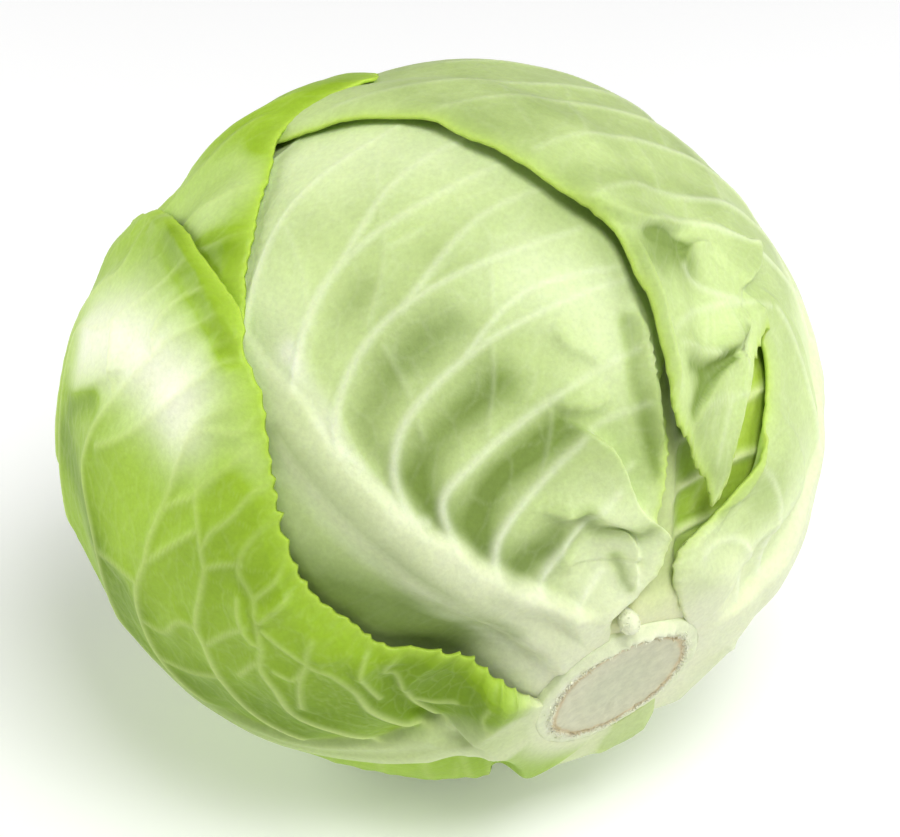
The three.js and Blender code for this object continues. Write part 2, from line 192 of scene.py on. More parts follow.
def spline(points, t):
    """A smooth curve through the points, read at shares t of its length in points."""
    points = np.asarray(points, float)
    padded = np.vstack([2 * points[0] - points[1], points, 2 * points[-1] - points[-2]])
    at = np.asarray(t, float) * (len(points) - 1)
    i = np.clip(at.astype(int), 0, len(points) - 2)
    f = (at - i)[..., None]
    a, b, c, d = (padded[i + k] for k in range(4))
    return 0.5 * (2 * b + (c - a) * f + (2 * a - 5 * b + 4 * c - d) * f**2 + (3 * b - a - 3 * c + d) * f**3)


def ripple(s, pitch, seed):
    """Smooth irregular waves between -1 and 1 along s."""
    s = np.asarray(s, float)
    heights = np.random.default_rng(seed).uniform(-1, 1, int(s.max() / pitch) + 3)
    i = np.floor(s / pitch).astype(int)
    f = s / pitch - i
    f = f * f * (3 - 2 * f)
    return heights[i] * (1 - f) + heights[i + 1] * f


def new_piece(name, points, faces, marks):
    """A smooth piece from points in mm, with a value at each of them for every mark that its material reads."""
    mesh = bpy.data.meshes.new(name)
    mesh.from_pydata(in_room(points).tolist(), [], faces)
    mesh.polygons.foreach_set("use_smooth", np.ones(len(mesh.polygons), bool))
    for mark, values in marks.items():
        flat = np.ascontiguousarray(values, np.float32)
        kind, key = ("FLOAT_VECTOR", "vector") if flat.ndim == 2 else ("FLOAT", "value")
        mesh.attributes.new(mark, kind, "POINT").data.foreach_set(key, flat.ravel())
    return placed(name, mesh)


def turned_faces(rings, around):
    """Quads of a turned surface whose rings run from its first pole to its last."""
    i, j = np.meshgrid(np.arange(rings - 1), np.arange(around), indexing="ij")
    k = (j + 1) % around
    quads = np.stack([i * around + j, i * around + k, (i + 1) * around + k, (i + 1) * around + j], -1)
    return quads.reshape(-1, 4).tolist()


def close_poles(piece):
    shape = bmesh.new()
    shape.from_mesh(piece.data)
    bmesh.ops.remove_doubles(shape, verts=shape.verts, dist=2e-5)
    bmesh.ops.recalc_face_normals(shape, faces=shape.faces)
    shape.to_mesh(piece.data)
    shape.free()


profile = spline(STEM_PROFILE, np.linspace(0, 1, STEM_ALONG) ** 0.8)
theta = np.linspace(0, 2 * np.pi, STEM_AROUND, endpoint=False)
radius, level = profile[:, :1], profile[:, 1:]
lobes = sum(height * np.cos(count * theta + turn) for height, count, turn in STEM_LOBES)
radius = radius + lobes * np.clip(radius / 17, 0, 1) ** 3
saw = SAW_LINES * np.sin(1.9 * radius * np.sin(theta + 0.4)) + SAW_RIPPLE * ripple((theta * 9) % 60, 1, 5)
level = level + np.where(level > CUT_FACE, np.clip(radius / 8, 0, 1) ** 2 * saw, 0)
degrees = np.degrees(theta)
from_torn = (degrees + 180) % 360 - 180 - TORN_MIDDLE
ragged = 0.7 + 0.45 * ripple(degrees, 7, 8) + 0.25 * ripple(degrees, 3, 9)
torn = np.maximum(np.clip(1 - (from_torn / TORN_SPREAD) ** 4, 0, 1) * ragged, 0)
torn = torn * np.exp(-(((radius - TORN_RADIUS) / TORN_WIDTH) ** 2))
level = level + TORN_HEIGHT * torn * (level > CUT_FACE)
stem_points = np.stack([radius * np.cos(theta), radius * np.sin(theta), -level], -1).reshape(-1, 3)

bud_way, bud_side = direction(BUD_LON, BUD_COL), direction(BUD_LON + 90, 90)
bud_up = np.cross(bud_side, bud_way)
bud_t = np.linspace(0.02, math.pi - 0.02, BUD_RINGS)[:, None]
bud_turn = np.linspace(0, 2 * np.pi, BUD_AROUND, endpoint=False)
bud_wide = BUD_WIDTH * np.sin(bud_t) * (1 + 0.25 * np.cos(bud_t) + 0.06 * np.cos(3 * bud_turn))
bud_points = bud_way * BUD_OUT + sum(reach[..., None] * axis for reach, axis in (
    (BUD_LENGTH * np.cos(bud_t) + 0 * bud_turn, 0.75 * bud_way + 0.65 * bud_up),
    (bud_wide * np.cos(bud_turn), bud_side),
    (bud_wide * np.sin(bud_turn), 0.65 * bud_way - 0.75 * bud_up),
))
first, bud_size = len(stem_points), BUD_RINGS * BUD_AROUND
bud_faces = [[first + k for k in face] for face in turned_faces(BUD_RINGS, BUD_AROUND)]
for ring, turn in ((0, -1), (bud_size - BUD_AROUND, 1)):
    bud_faces.append([first + ring + k for k in range(BUD_AROUND)][::turn])
stem = new_piece(
    "cut_stem", np.vstack([stem_points, bud_points.reshape(-1, 3)]), turned_faces(STEM_ALONG, STEM_AROUND) + bud_faces,
    {"ring": np.append(radius + 0 * theta, np.full(bud_size, BUD_TINT)),
     "cut": np.append(np.clip((level - CUT_EDGE) / CUT_SOFT, 0, 1), np.ones(bud_size))})
close_poles(stem)


def reckon(tree, operation, *values):
    return node(tree, "ShaderNodeMath", dict(enumerate(values)), operation=operation).outputs[0]


def product(tree, *factors):
    return functools.reduce(lambda a, b: reckon(tree, "MULTIPLY", a, b), factors)


def noise(tree, place, scale, detail, rough=0.5):
    inputs = {"Vector": place, "Scale": scale, "Detail": detail, "Roughness": rough}
    return node(tree, "ShaderNodeTexNoise", inputs).outputs["Fac"]


def mapped(tree, value, low, high, to_low, to_high):
    inputs = {"Value": value, "From Min": low, "From Max": high, "To Min": to_low, "To Max": to_high}
    return node(tree, "ShaderNodeMapRange", inputs).outputs["Result"]


def painted(tree, share, under, over):
    return node(tree, "ShaderNodeMix", {0: share, 6: under, 7: over}, data_type="RGBA", clamp_factor=True).outputs[2]


def scaled(tree, vector, by):
    return node(tree, "ShaderNodeVectorMath", {0: vector, "Scale": by}, operation="SCALE").outputs[0]


stalk, tree, shader = new_finish("cut_stalk")
place = node(tree, "ShaderNodeTexCoord").outputs["Object"]
ring, cut = (node(tree, "ShaderNodeAttribute", attribute_name=mark).outputs["Fac"] for mark in ("ring", "cut"))
fine = noise(tree, place, 420.0, 6.0, 0.7)
wander = reckon(tree, "MULTIPLY_ADD", noise(tree, place, 120.0, 3.0), 3.0, ring)
bands = node(tree, "ShaderNodeValToRGB", {"Fac": reckon(tree, "DIVIDE", wander, CUT_RIM)})
stops = bands.color_ramp.elements
stops[0].position, stops[1].position = CUT_BANDS[0][0], CUT_BANDS[-1][0]
for at, _ in CUT_BANDS[1:-1]:
    stops.new(at)
for stop, (_, colour) in zip(stops, CUT_BANDS):
    stop.color = (*colour, 1)
body = painted(tree, cut, STALK_SIDE, bands.outputs["Color"])
rough = node(tree, "ShaderNodeBump", {"Height": fine, "Strength": 0.55, "Distance": 0.0004})
filled(tree, shader, {
    "Base Color": scaled(tree, body, mapped(tree, fine, 0.38, 0.66, 0.9, 1.05)), "Normal": rough.outputs["Normal"],
    "Roughness": 0.62, "Subsurface Weight": 0.15, "Subsurface Radius": (1.0, 0.9, 0.5), "Subsurface Scale": 0.003,
})


def new_tree(name, part, kinds, sizes):
    """A node tree that works on a part's mesh, with a named input for its finish and for each of its sizes."""
    tree = bpy.data.node_groups.new(name, "GeometryNodeTree")
    for socket, kind in {part: "Geometry", "Finish": "Material", **kinds, **dict.fromkeys(sizes, "Float")}.items():
        tree.interface.new_socket(name=socket, in_out="INPUT", socket_type="NodeSocket" + kind)
    tree.interface.new_socket(name=part, in_out="OUTPUT", socket_type="NodeSocketGeometry")
    return tree, node(tree, "NodeGroupInput").outputs


def marked(tree, name, kind="FLOAT"):
    return node(tree, "GeometryNodeInputNamedAttribute", {"Name": name}, data_type=kind).outputs["Attribute"]


def bell(tree, distance, width):
    """1 on a line, falling off to both sides within a width."""
    near = reckon(tree, "DIVIDE", distance, width)
    return reckon(tree, "EXPONENT", product(tree, near, near, -1.0))


def end_tree(tree, part, shape, given):
    done = node(tree, "GeometryNodeSetMaterial", {"Geometry": shape, "Material": given["Finish"]})
    node(tree, "NodeGroupOutput", {part: done.outputs[0]})


def fibre_tree():
    """Strews small torn fibres over a ring of the cut."""
    sizes = "Ring radius", "Ring width", "Per square metre", "Fibre width", "Fibre length"
    tree, given = new_tree("torn_fibres", "Stem", {"Seed": "Int"}, sizes)
    off = reckon(tree, "SUBTRACT", marked(tree, "ring"), given["Ring radius"])
    many = product(tree, bell(tree, off, given["Ring width"]), marked(tree, "cut"), given["Per square metre"])
    spots = node(tree, "GeometryNodeDistributePointsOnFaces", {
        "Mesh": given["Stem"], "Density": many, "Seed": given["Seed"]}, distribute_method="RANDOM")
    fibre = node(tree, "GeometryNodeMeshCone", {
        "Vertices": 5, "Radius Top": 0.0, "Radius Bottom": given["Fibre width"], "Depth": given["Fibre length"]})
    leaning = node(tree, "FunctionNodeRandomValue", {
        "Min": (-1.3, -1.3, 0.0), "Max": (1.3, 1.3, 6.28), "Seed": given["Seed"]}, data_type="FLOAT_VECTOR")
    grown = node(tree, "FunctionNodeRandomValue", {2: 0.35, 3: 1.25, "Seed": given["Seed"]}, data_type="FLOAT")
    turned = node(tree, "FunctionNodeRotateRotation", {
        "Rotation": spots.outputs["Rotation"], "Rotate By": leaning.outputs[0]}, rotation_space="LOCAL")
    strewn = node(tree, "GeometryNodeInstanceOnPoints", {
        "Points": spots.outputs["Points"], "Instance": fibre.outputs["Mesh"], "Rotation": turned.outputs[0],
        "Scale": grown.outputs[1]})
    whole = node(tree, "GeometryNodeRealizeInstances", {"Geometry": strewn.outputs["Instances"]})
    joined = node(tree, "GeometryNodeJoinGeometry")
    for part in (given["Stem"], whole.outputs[0]):
        tree.links.new(part, joined.inputs[0])
    end_tree(tree, "Stem", joined.outputs[0], given)
    return tree


def worked_in(piece, tree, values):
    """Runs a node tree on a piece with the given sizes, and keeps the result as its plain mesh."""
    run = piece.modifiers.new(tree.name, "NODES")
    run.node_group = tree
    socket = {s.name: s.identifier for s in tree.interface.items_tree if s.in_out == "INPUT"}
    for size, value in values.items():
        run[socket[size]] = value
    graph = bpy.context.evaluated_depsgraph_get()
    whole = piece.evaluated_get(graph)
    plain = bpy.data.meshes.new_from_object(whole, preserve_all_data_layers=True, depsgraph=graph)
    piece.modifiers.clear()
    piece.data = plain
    plain.name = piece.name


worked_in(stem, fibre_tree(), {
    "Finish": stalk, "Ring radius": 16.6, "Ring width": 0.8, "Per square metre": 7.0e6, "Fibre width": 0.00022,
    "Fibre length": 0.0007, "Seed": 4,
})
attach(stem, "root")
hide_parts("stem")

# The heart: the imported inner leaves, one solid ball to the eye, that only shows in the slots between the wrappers.
# Its skin is the back of its own outermost leaf, pale and smooth, drawn in to the core at the stem.
HEART_EQUATOR = 74.5
HEART_POLE = 65
DIMPLE_DEPTH = 3
DIMPLE_ANGLE = 24
HEART_SWELLS = [
    # direction, rise in mm, width in degrees
    (-126, 66, -3.0, 24), (-102, 118, 3.5, 36), (78, 62, 2.5, 34), (-20, 150, 2.0, 40), (80, 38, 6.5, 20),
    (-30, 129, -4.8, 20), (22, 116, 1.6, 22),
]
CORE_GAP = 0.5
CORE_END = (0.01, 24)
PRESSED_BLADE = 0.8
PRESSED_GAP = 0.7
LAYERS = 6
HEART_ALONG = 110
HEART_AROUND = 200
POCKET_ALONG = 40
HEART_PALE = 0.25


def pressed_to(d, level):
    """How far out a direction meets the level at so many mm above the table."""
    facing = -(d @ head_turn.T)[..., 2]
    return np.where(facing > 0.2, (HEAD_CENTRE[2] - level) / np.maximum(facing, 0.2), np.inf)


def heart_radius(d):
    level = np.hypot(d[..., 0], d[..., 1])
    r = 1 / np.hypot(level / HEART_EQUATOR, d[..., 2] / HEART_POLE)
    for lon, col, height, width in HEART_SWELLS:
        away = np.arccos(np.clip(d @ direction(lon, col), -1, 1)) / math.radians(width)
        r = r + height * np.exp(-away * away)
    from_stem = np.arccos(np.clip(-d[..., 2], -1, 1)) / math.radians(DIMPLE_ANGLE)
    r = r - DIMPLE_DEPTH * np.exp(-from_stem * from_stem)
    return np.minimum(r, pressed_to(d, LAYERS * (PRESSED_BLADE + PRESSED_GAP)))


pocket = [CORE_END] + [(r + CORE_GAP, level) for r, level in STEM_PROFILE[-2:STEM_CORE - 1:-1]]
wall = spline(pocket, np.linspace(0, 1, POCKET_ALONG))
mouth = math.degrees(math.atan2(wall[-1, 0], wall[-1, 1]))
lon = np.linspace(0, 360, HEART_AROUND, endpoint=False)
turn = np.radians(lon)
skin = direction(lon[None, :], np.linspace(mouth + 0.8, 179.99, HEART_ALONG)[:, None])
skin = skin * heart_radius(skin)[..., None]
lining = np.stack([wall[:, :1] * np.cos(turn), wall[:, :1] * np.sin(turn), -wall[:, 1:] + 0 * lon], -1)
lining = lining[np.linalg.norm(lining[:, 0], axis=1) < np.linalg.norm(skin[0, 0]) - 0.3]
heart_points = np.concatenate([lining, skin]).reshape(-1, 3)
none = np.zeros(len(heart_points))
heart = new_piece(
    "packed_heart", heart_points, turned_faces(len(lining) + len(skin), HEART_AROUND),
    {"vein": none, "pale": none + HEART_PALE, "edge": none, "tone": none})
close_poles(heart)
laid = []


def mesh_points(mesh):
    places = np.empty(len(mesh.vertices) * 3, np.float32)
    mesh.vertices.foreach_get("co", places)
    return places.reshape(-1, 3)


def lay_down(piece):
    """Keeps the piece's skin for the leaves that come to lie on it."""
    mesh = piece.data
    laid.append(BVHTree.FromPolygons(mesh_points(mesh).tolist(), [p.vertices[:] for p in mesh.polygons]))


def leaf_finish(name, blade, deep_mottle_and_shade, painted_highlight, vein, rib, edge, bloom=0.05):
    """Waxy leaf skin: a green blade with deeper clouds, painted shade and highlights, pale veins, a yellower edge and
    fine pores.
    """
    finish, tree, shader = new_finish(name)
    place = node(tree, "ShaderNodeTexCoord").outputs["Object"]
    marks = "vein", "pale", "edge", "tone"
    veined, pale, at_edge, tone = (
        node(tree, "ShaderNodeAttribute", attribute_name=mark).outputs["Fac"] for mark in marks)
    clouds = mapped(tree, noise(tree, place, 22.0, 4.0, 0.55), 0.36, 0.68, 0.0, 0.55)
    # the blade goes deeper with random clouds and with painted shade laid along strokes
    colour = painted(tree, reckon(tree, "ADD", clouds, tone), (*blade, 1), (*deep_mottle_and_shade, 1))
    # where the strokes are below nought, a painted highlight is laid over the blade
    painted_highlight_share = product(tree, tone, -1.0)
    for share, paint in ((painted_highlight_share, painted_highlight), (at_edge, edge), (pale, rib), (veined, vein)):
        colour = painted(tree, share, colour, (*paint, 1))
    pores = noise(tree, place, 900.0, 3.0, 0.6)
    bumps = reckon(tree, "MULTIPLY_ADD", noise(tree, place, 260.0, 4.0, 0.55), 0.6, pores)
    relief = node(tree, "ShaderNodeBump", {"Height": bumps, "Strength": 0.22, "Distance": 0.0004})
    filled(tree, shader, {
        "Base Color": scaled(tree, colour, mapped(tree, pores, 0.3, 0.7, 0.94, 1.05)),
        "Normal": relief.outputs["Normal"],
        "Roughness": mapped(tree, noise(tree, place, 60.0, 5.0, 0.65), 0.3, 0.7, 0.35, 0.52),
        "Specular IOR Level": 0.16, "Coat Weight": bloom, "Coat Roughness": 0.35,
        "Subsurface Weight": 0.2, "Subsurface Radius": (0.75, 1.0, 0.2), "Subsurface Scale": 0.0025,
    })
    return finish


# the deeper colour serves random mottling and painted shade, the lightest one only painted highlights
inner_green = leaf_finish(
    "inner_leaf", blade=(0.42, 0.58, 0.07), deep_mottle_and_shade=(0.25, 0.42, 0.02), painted_highlight=(0.70, 0.84, 0.30), vein=(0.80, 0.86, 0.50),
    rib=(0.82, 0.83, 0.56), edge=(0.50, 0.66, 0.08))
heart.data.materials.append(inner_green)
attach(heart, "root")
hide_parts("heart")
lay_down(heart)

# The inner leaf: the innermost wrapper, of which only a yellow-green strip is seen down in the slot between the
# front leaf and the right-hand one. Like every wrapper it is one blade grown round a midrib that rises from the stem.

# the blade, its midrib and the collar at its foot, in mm; the midrib's width at its tip is a share
CELL = 0.85
LEAF_EQUATOR = HEART_EQUATOR + 5
BLADE = 1.15
MARGIN_BLADE = 0.75
MARGIN_REACH = 9
TOOTH_PITCH = 3.2
RIM_REACH = 4
FOOT_CALM = 12
RIB_HEIGHT = 6
RIB_HALF_WIDTH = 7
RIB_LENGTH = 62
RIB_TIP_WIDTH = 0.45
COLLAR_HEIGHT = 10
COLLAR_LENGTH = 9
COLLAR_EDGE = 2.5
BASE_COLATITUDE = 14.5
# the leaf's lie on what is under it, in mm, and in grid cells where it is searched and smoothed
LEAF_GAP = 0.35
FLOOR_STEP = 3
FLOOR_REACH = 2
TOP_REACH = 200
# the saw's cut through the leaves round the stem, in mm
CUT_LEVEL = 75.1
CUT_BLADE = 2
CUT_STEP = 0.22
CUT_ROUND = 1.0
CUT_FALL = 0.007
CUT_BEND = 22
CUT_REACH = 0.5
# the margin's teeth, waves and curl: how far in they reach and how long their waves are, in mm
EDGE_REACH = 4.5
CURL_REACH = 5
NARROW_HALF = 14
WAVE_PITCH = 8.5
CURL_PITCHES = 6.5, 2.8
PLAIN_MARGIN = [
    # shares of the leaf's length and half-width
    (0.094, 0.16), (0.13, 0.27), (0.16, 0.5), (0.22, 0.8), (0.33, 0.96), (0.47, 1), (0.6, 0.95), (0.72, 0.82),
    (0.84, 0.6), (0.94, 0.32), (1, 0),
]
WAY_ALONG = 0.4
WAY_OUT = 0.62
LINE_POINTS = 80
SPINE_STEPS = 1200
RIB_STEPS = 160
VEIN_END = 0.97
# painted shade down the slot between the front and right-hand leaves, where the inner leaf lies in shade
INNER_PAINTED_SHADE = [([(10, 30), (12, 42), (14, 55), (14, 70)], 13, 0.45)]
SOFT_VEINS = {
    "Main height": 0.0007, "Main width": 0.0012, "Side height": 0.0002, "Side width": 0.0008, "Side tint": 0.16,
    "Tent height": 0.0007, "Tent width": 0.005, "Net pitch": 0.009, "Net height": 0.00005, "Net width": 0.0005,
    "Net tint": 0.06, "Swell": 0.0013, "Swell pitch": 0.03,
}
NET_BEND = 0.004, 0.004, 0.0
NET_BEND_SCALE = 160.0


def beside(meridian, along, sideways):
    """A direction given along a midrib's meridian and sideways from it."""
    along, sideways = np.radians(along), np.radians(sideways)
    out, across = direction(meridian, 90), direction(np.asarray(meridian) + 90, 90)
    up = np.stack([0 * along, 0 * along, -np.cos(along)], -1) + out * np.sin(along)[..., None]
    return up * np.cos(sideways)[..., None] + across * np.sin(sideways)[..., None]


def shown_side(rows, teeth=0.8, wave=0.6, curl=0.4, pitch=TOOTH_PITCH):
    """A leaf's side measured vein by vein: a point halfway along each vein, its end at the margin, and their lifts."""
    rows = np.array([(*row, 0, 0)[:6] for row in rows], float)
    way, end = direction(rows[:, 0], rows[:, 1]), direction(rows[:, 2], rows[:, 3])
    return SimpleNamespace(way=way, end=end, lift=rows[:, 4:], teeth=teeth, wave=wave, curl=curl, pitch=pitch)


def plain_side(midrib, width, length, other=None, teeth=0.2, wave=0.3, curl=0.1, foot=1, ankle=0.05):
    """A side that follows the common outline of a wrapper leaf and meets the other side at its tip."""
    midrib = np.array(midrib, float)
    s, t = spline(PLAIN_MARGIN, np.linspace(0, 1, len(midrib))).T
    t = t * (1 + (foot - 1) * np.exp(-((s - s[0]) / ankle) ** 2))
    along = s * length
    way = beside(midrib[:, 0], midrib[:, 1] + (along - midrib[:, 1]) * WAY_ALONG, WAY_OUT * t * width)
    end = beside(midrib[:, 0], along, t * width)
    turn = t[0] * width / math.sin(math.radians(BASE_COLATITUDE))
    way[0], end[0] = (direction(midrib[0, 0] + part * turn, BASE_COLATITUDE) for part in (0.5, 1))
    if other:
        way[-1], end[-1] = other.way[-1], other.end[-1]
    else:
        lon, col = midrib[-1]
        way[-1], end[-1] = beside(lon, (col + length) / 2, 0), beside(lon, length, 0)
    lift = np.zeros((len(midrib), 2))
    return SimpleNamespace(way=way, end=end, lift=lift, teeth=teeth, wave=wave, curl=curl, pitch=TOOTH_PITCH)


def bent_midrib(start, end, count):
    share = (np.arange(count) / (count - 1)) ** 1.15
    return [(start[0] + (end[0] - start[0]) * k, start[1] + (end[1] - start[1]) * k) for k in share]


def row_lengths(points):
    return np.concatenate([[0], np.cumsum(np.linalg.norm(np.diff(points, axis=0), axis=1))])


def gathered(values, reach, share, how):
    """Each cell's highest or mean value within so many cells, past the tip on the leaf's other side."""
    mirror = np.abs(share[:, None] + share[None, :]).argmin(axis=0)
    tall = np.concatenate([np.repeat(values[:1], reach, 0), values, values[-2:-2 - reach:-1][:, mirror]])
    tall = np.pad(tall, ((0, 0), (reach, reach)), mode="edge")
    rows = how([tall[k:k + len(values)] for k in range(2 * reach + 1)], axis=0)
    return how([rows[:, k:k + values.shape[1]] for k in range(2 * reach + 1)], axis=0)


def tops(d):
    """How far out the pieces laid so far reach, in each direction."""
    flat = d.reshape(-1, 3)
    top = heart_radius(flat)
    away = flat @ head_turn.T
    starts = ((HEAD_CENTRE + away * TOP_REACH) / 1000).tolist()
    inward = (-away).tolist()
    for skin_tree in laid[1:]:
        found = [skin_tree.ray_cast(a, b)[3] for a, b in zip(starts, inward)]
        top = np.maximum(top, [0 if f is None else TOP_REACH - 1000 * f for f in found])
    return top.reshape(d.shape[:-1])


def floor_under(d, share):
    """The radius a leaf's inner face lies at: just over the highest thing near each direction, smoothed."""
    coarse = tops(d[::FLOOR_STEP, ::FLOOR_STEP]) + LEAF_GAP
    for reach, how in ((FLOOR_REACH, np.max), (1, np.mean), (1, np.mean)):
        coarse = gathered(coarse, reach, share[::FLOOR_STEP], how)
    i, j = np.arange(d.shape[0]), np.arange(d.shape[1])
    tall = np.array([np.interp(i, i[::FLOOR_STEP], column) for column in coarse.T]).T
    floor = np.array([np.interp(j, j[::FLOOR_STEP], row) for row in tall])
    return gathered(floor, FLOOR_REACH, share, np.mean)


def one_side(spine, side, u, v, half, seed):
    """Directions, lifts and distances to the margin over one side of a leaf, with its teeth, waves and curl."""
    half = half[:, None]
    margin = row_lengths(spline(side.end, u)) * LEAF_EQUATOR
    tooth = margin / side.pitch + 0.8 * ripple(margin, 3 * side.pitch, seed + 1)
    teething = 0.6 - np.abs(np.sin(np.pi * tooth)) ** 0.6
    teething *= 0.4 + 0.6 * (ripple(margin, 9, seed + 2) * 0.5 + 0.5)
    teeth = spline(np.broadcast_to(side.teeth, len(side.lift))[:, None], u)[:, 0]
    swing = (teeth * teething + side.wave * ripple(margin, WAVE_PITCH, seed + 3))[:, None]
    settled = np.clip(half / NARROW_HALF, 0, 1)
    from_edge = (1 - v) * half
    w = v + settled * np.exp(-((from_edge / EDGE_REACH) ** 2)) * (swing / np.maximum(half, 8))
    w = w[..., None]
    a, b, c = (spline(points, u)[:, None, :] for points in (spine, side.way, side.end))
    d = a * (1 - w) * (1 - 2 * w) + 4 * b * w * (1 - w) + c * w * (2 * w - 1)
    up = spline(side.lift, u)
    raised = up[:, :1] * 4 * v * (1 - v) + up[:, 1:] * v * (2 * v - 1)
    slow, quick = (ripple(margin, pitch, seed + k) for pitch, k in zip(CURL_PITCHES, (4, 5)))
    flutter = side.curl * (0.9 + slow + 0.5 * quick)[:, None]
    return d, np.maximum(raised, 0) + settled * np.exp(-((from_edge / CURL_REACH) ** 2)) * flutter, from_edge


def laid_leaf(midrib, left, right, layer, rib=1, rib_length=RIB_LENGTH, cell=CELL, finer=0, seed=1):
    """Lays a leaf over what is there: its grid of directions, inner radius and thickness, all in mm."""
    spine = direction(*np.transpose(np.array(midrib, float)))
    fine = np.linspace(0, 1, SPINE_STEPS)
    curves = (spine, left.way, left.end, right.way, right.end)
    paces = [np.linalg.norm(np.diff(spline(curve, fine), axis=0), axis=1) for curve in curves]
    reach = np.concatenate([[0], np.cumsum(np.max(paces, axis=0))]) * LEAF_EQUATOR
    rows = 2 * math.ceil(reach[-1] / cell / 2) + 1
    u = np.interp(np.linspace(0, reach[-1], rows), reach, fine)
    wide = []
    for side in (left, right):
        a, b, c = spline(spine, u), spline(side.way, u), spline(side.end, u)
        wide.append((np.linalg.norm(b - a, axis=1) + np.linalg.norm(c - b, axis=1)) * LEAF_EQUATOR)
    wide = np.array(wide)
    widest = (wide[1 if finer > 0 else 0] if finer else wide.mean(axis=0)).max()
    fine_count = 4 * math.ceil(widest * 0.9 / cell / 4)
    middle, beyond = (fine_count // 2 if finer == -sign else fine_count for sign in (-1, 1))
    share = np.concatenate([np.arange(-middle, 0) / middle, np.arange(beyond + 1) / beyond])
    halves = (left, -share[:middle], wide[0]), (right, share[middle:], wide[1])
    sides = [one_side(spine, side, u, v[None, :], half, seed) for side, v, half in halves]
    d, lift, edge_mm = (np.concatenate(pair, axis=1) for pair in zip(*sides))
    d /= np.linalg.norm(d, axis=-1, keepdims=True)
    ring = math.sin(math.radians(BASE_COLATITUDE)) / (np.hypot(d[..., 0], d[..., 1]) + 1e-9)
    foot = -math.cos(math.radians(BASE_COLATITUDE))
    on_ring = np.stack([d[..., 0] * ring, d[..., 1] * ring, np.full_like(ring, foot)], -1)
    d = np.where((d[..., 2] < foot)[..., None], on_ring, d)
    lift[-1] = np.maximum(lift[-1], np.interp(-share, share, lift[-1]))
    joints = spline(spine, np.linspace(0, 1, RIB_STEPS))
    rib_mm = np.arccos(np.clip((d @ joints.T).max(axis=-1), -1, 1)) * HEART_EQUATOR
    base = np.degrees(np.arccos(-d[..., 2])) - BASE_COLATITUDE
    from_foot = np.maximum(base, 0)
    fade = np.exp(-((from_foot / rib_length) ** 2))
    sideways = rib_mm / (RIB_HALF_WIDTH * (RIB_TIP_WIDTH + (1 - RIB_TIP_WIDTH) * fade))
    ridge = rib * RIB_HEIGHT * fade * (0.85 * np.exp(-(sideways**6)) + 0.15 * np.exp(-((0.6 * sideways) ** 2)))
    collar = np.exp(-((from_foot / COLLAR_LENGTH) ** 2)) * np.clip(edge_mm / COLLAR_EDGE, 0, 1) ** 0.7
    blade = MARGIN_BLADE + (BLADE - MARGIN_BLADE) * np.clip(edge_mm / MARGIN_REACH, 0, 1)
    return SimpleNamespace(
        u=u, share=share, d=d, r=floor_under(d, share), lift=lift, thick=blade + ridge + COLLAR_HEIGHT * collar,
        layer=layer, middle=middle, finer=finer, rows=rows, shift=np.zeros(d.shape), tone=np.zeros(d.shape[:2]),
        edge_mm=edge_mm, sideways=sideways, fade=fade, base=base, wide=wide, reach=reach[-1],
        run=row_lengths(spline(spine, u)) * HEART_EQUATOR,
    )


def near_line(d, line):
    """How far each direction lies to the left of a line on the head, in mm, how far along it, and the way left."""
    last = LINE_POINTS - 1
    points = direction(*spline(line, np.linspace(0, 1, LINE_POINTS)).T)
    left = np.cross(points, np.gradient(points, axis=0))
    left /= np.linalg.norm(left, axis=-1, keepdims=True)
    facing = d @ points.T
    k = facing.argmax(axis=-1)
    inner = np.clip(k, 1, last - 1)
    before, here, after = (np.take_along_axis(facing, (inner + n)[..., None], -1)[..., 0] for n in (-1, 0, 1))
    off = np.clip(0.5 * (before - after) / np.minimum(before - 2 * here + after, -1e-12), -0.5, 0.5)
    part = np.abs(off)[..., None]
    beside_it = left[inner] * (1 - part) + left[inner + np.sign(off).astype(int)] * part
    across = (d * beside_it).sum(axis=-1) * HEART_EQUATOR
    away = np.arccos(np.clip(facing.max(axis=-1), -1, 1)) * HEART_EQUATOR
    ends = (k == 0) | (k == last)
    return np.where(ends, np.copysign(away, across), across), (inner + off) / last, beside_it


def folded(leaf, folds):
    """Raises folds in a leaf, each given by its crest line, rise, reach to the left and right, and lean, in mm."""
    for line, rise, left, right, lean in folds:
        across, along, side = near_line(leaf.d, line)
        crest = np.exp(-((np.abs(across) / np.where(across > 0, left, right)) ** 1.4))
        crest *= np.clip(np.minimum(along, 1 - along) / 0.2 + 0.1, 0, 1)
        leaf.lift = leaf.lift + rise * crest
        leaf.shift = leaf.shift + side * (lean * crest)[..., None]
    leaf.lift = np.maximum(leaf.lift, 0)
    leaf.lift[-1] = np.maximum(leaf.lift[-1], np.interp(-leaf.share, leaf.share, leaf.lift[-1]))
    leaf.shift[-1] = 0


def lay_painted_shading(leaf, strokes):
    """Lays painted shade along strokes, and painted highlight where the strength is below nought: the line of each, its
    width in mm and its strength.
    """
    for line, width, strength in strokes:
        leaf.tone = leaf.tone + strength * np.exp(-((near_line(leaf.d, line)[0] / width) ** 2))


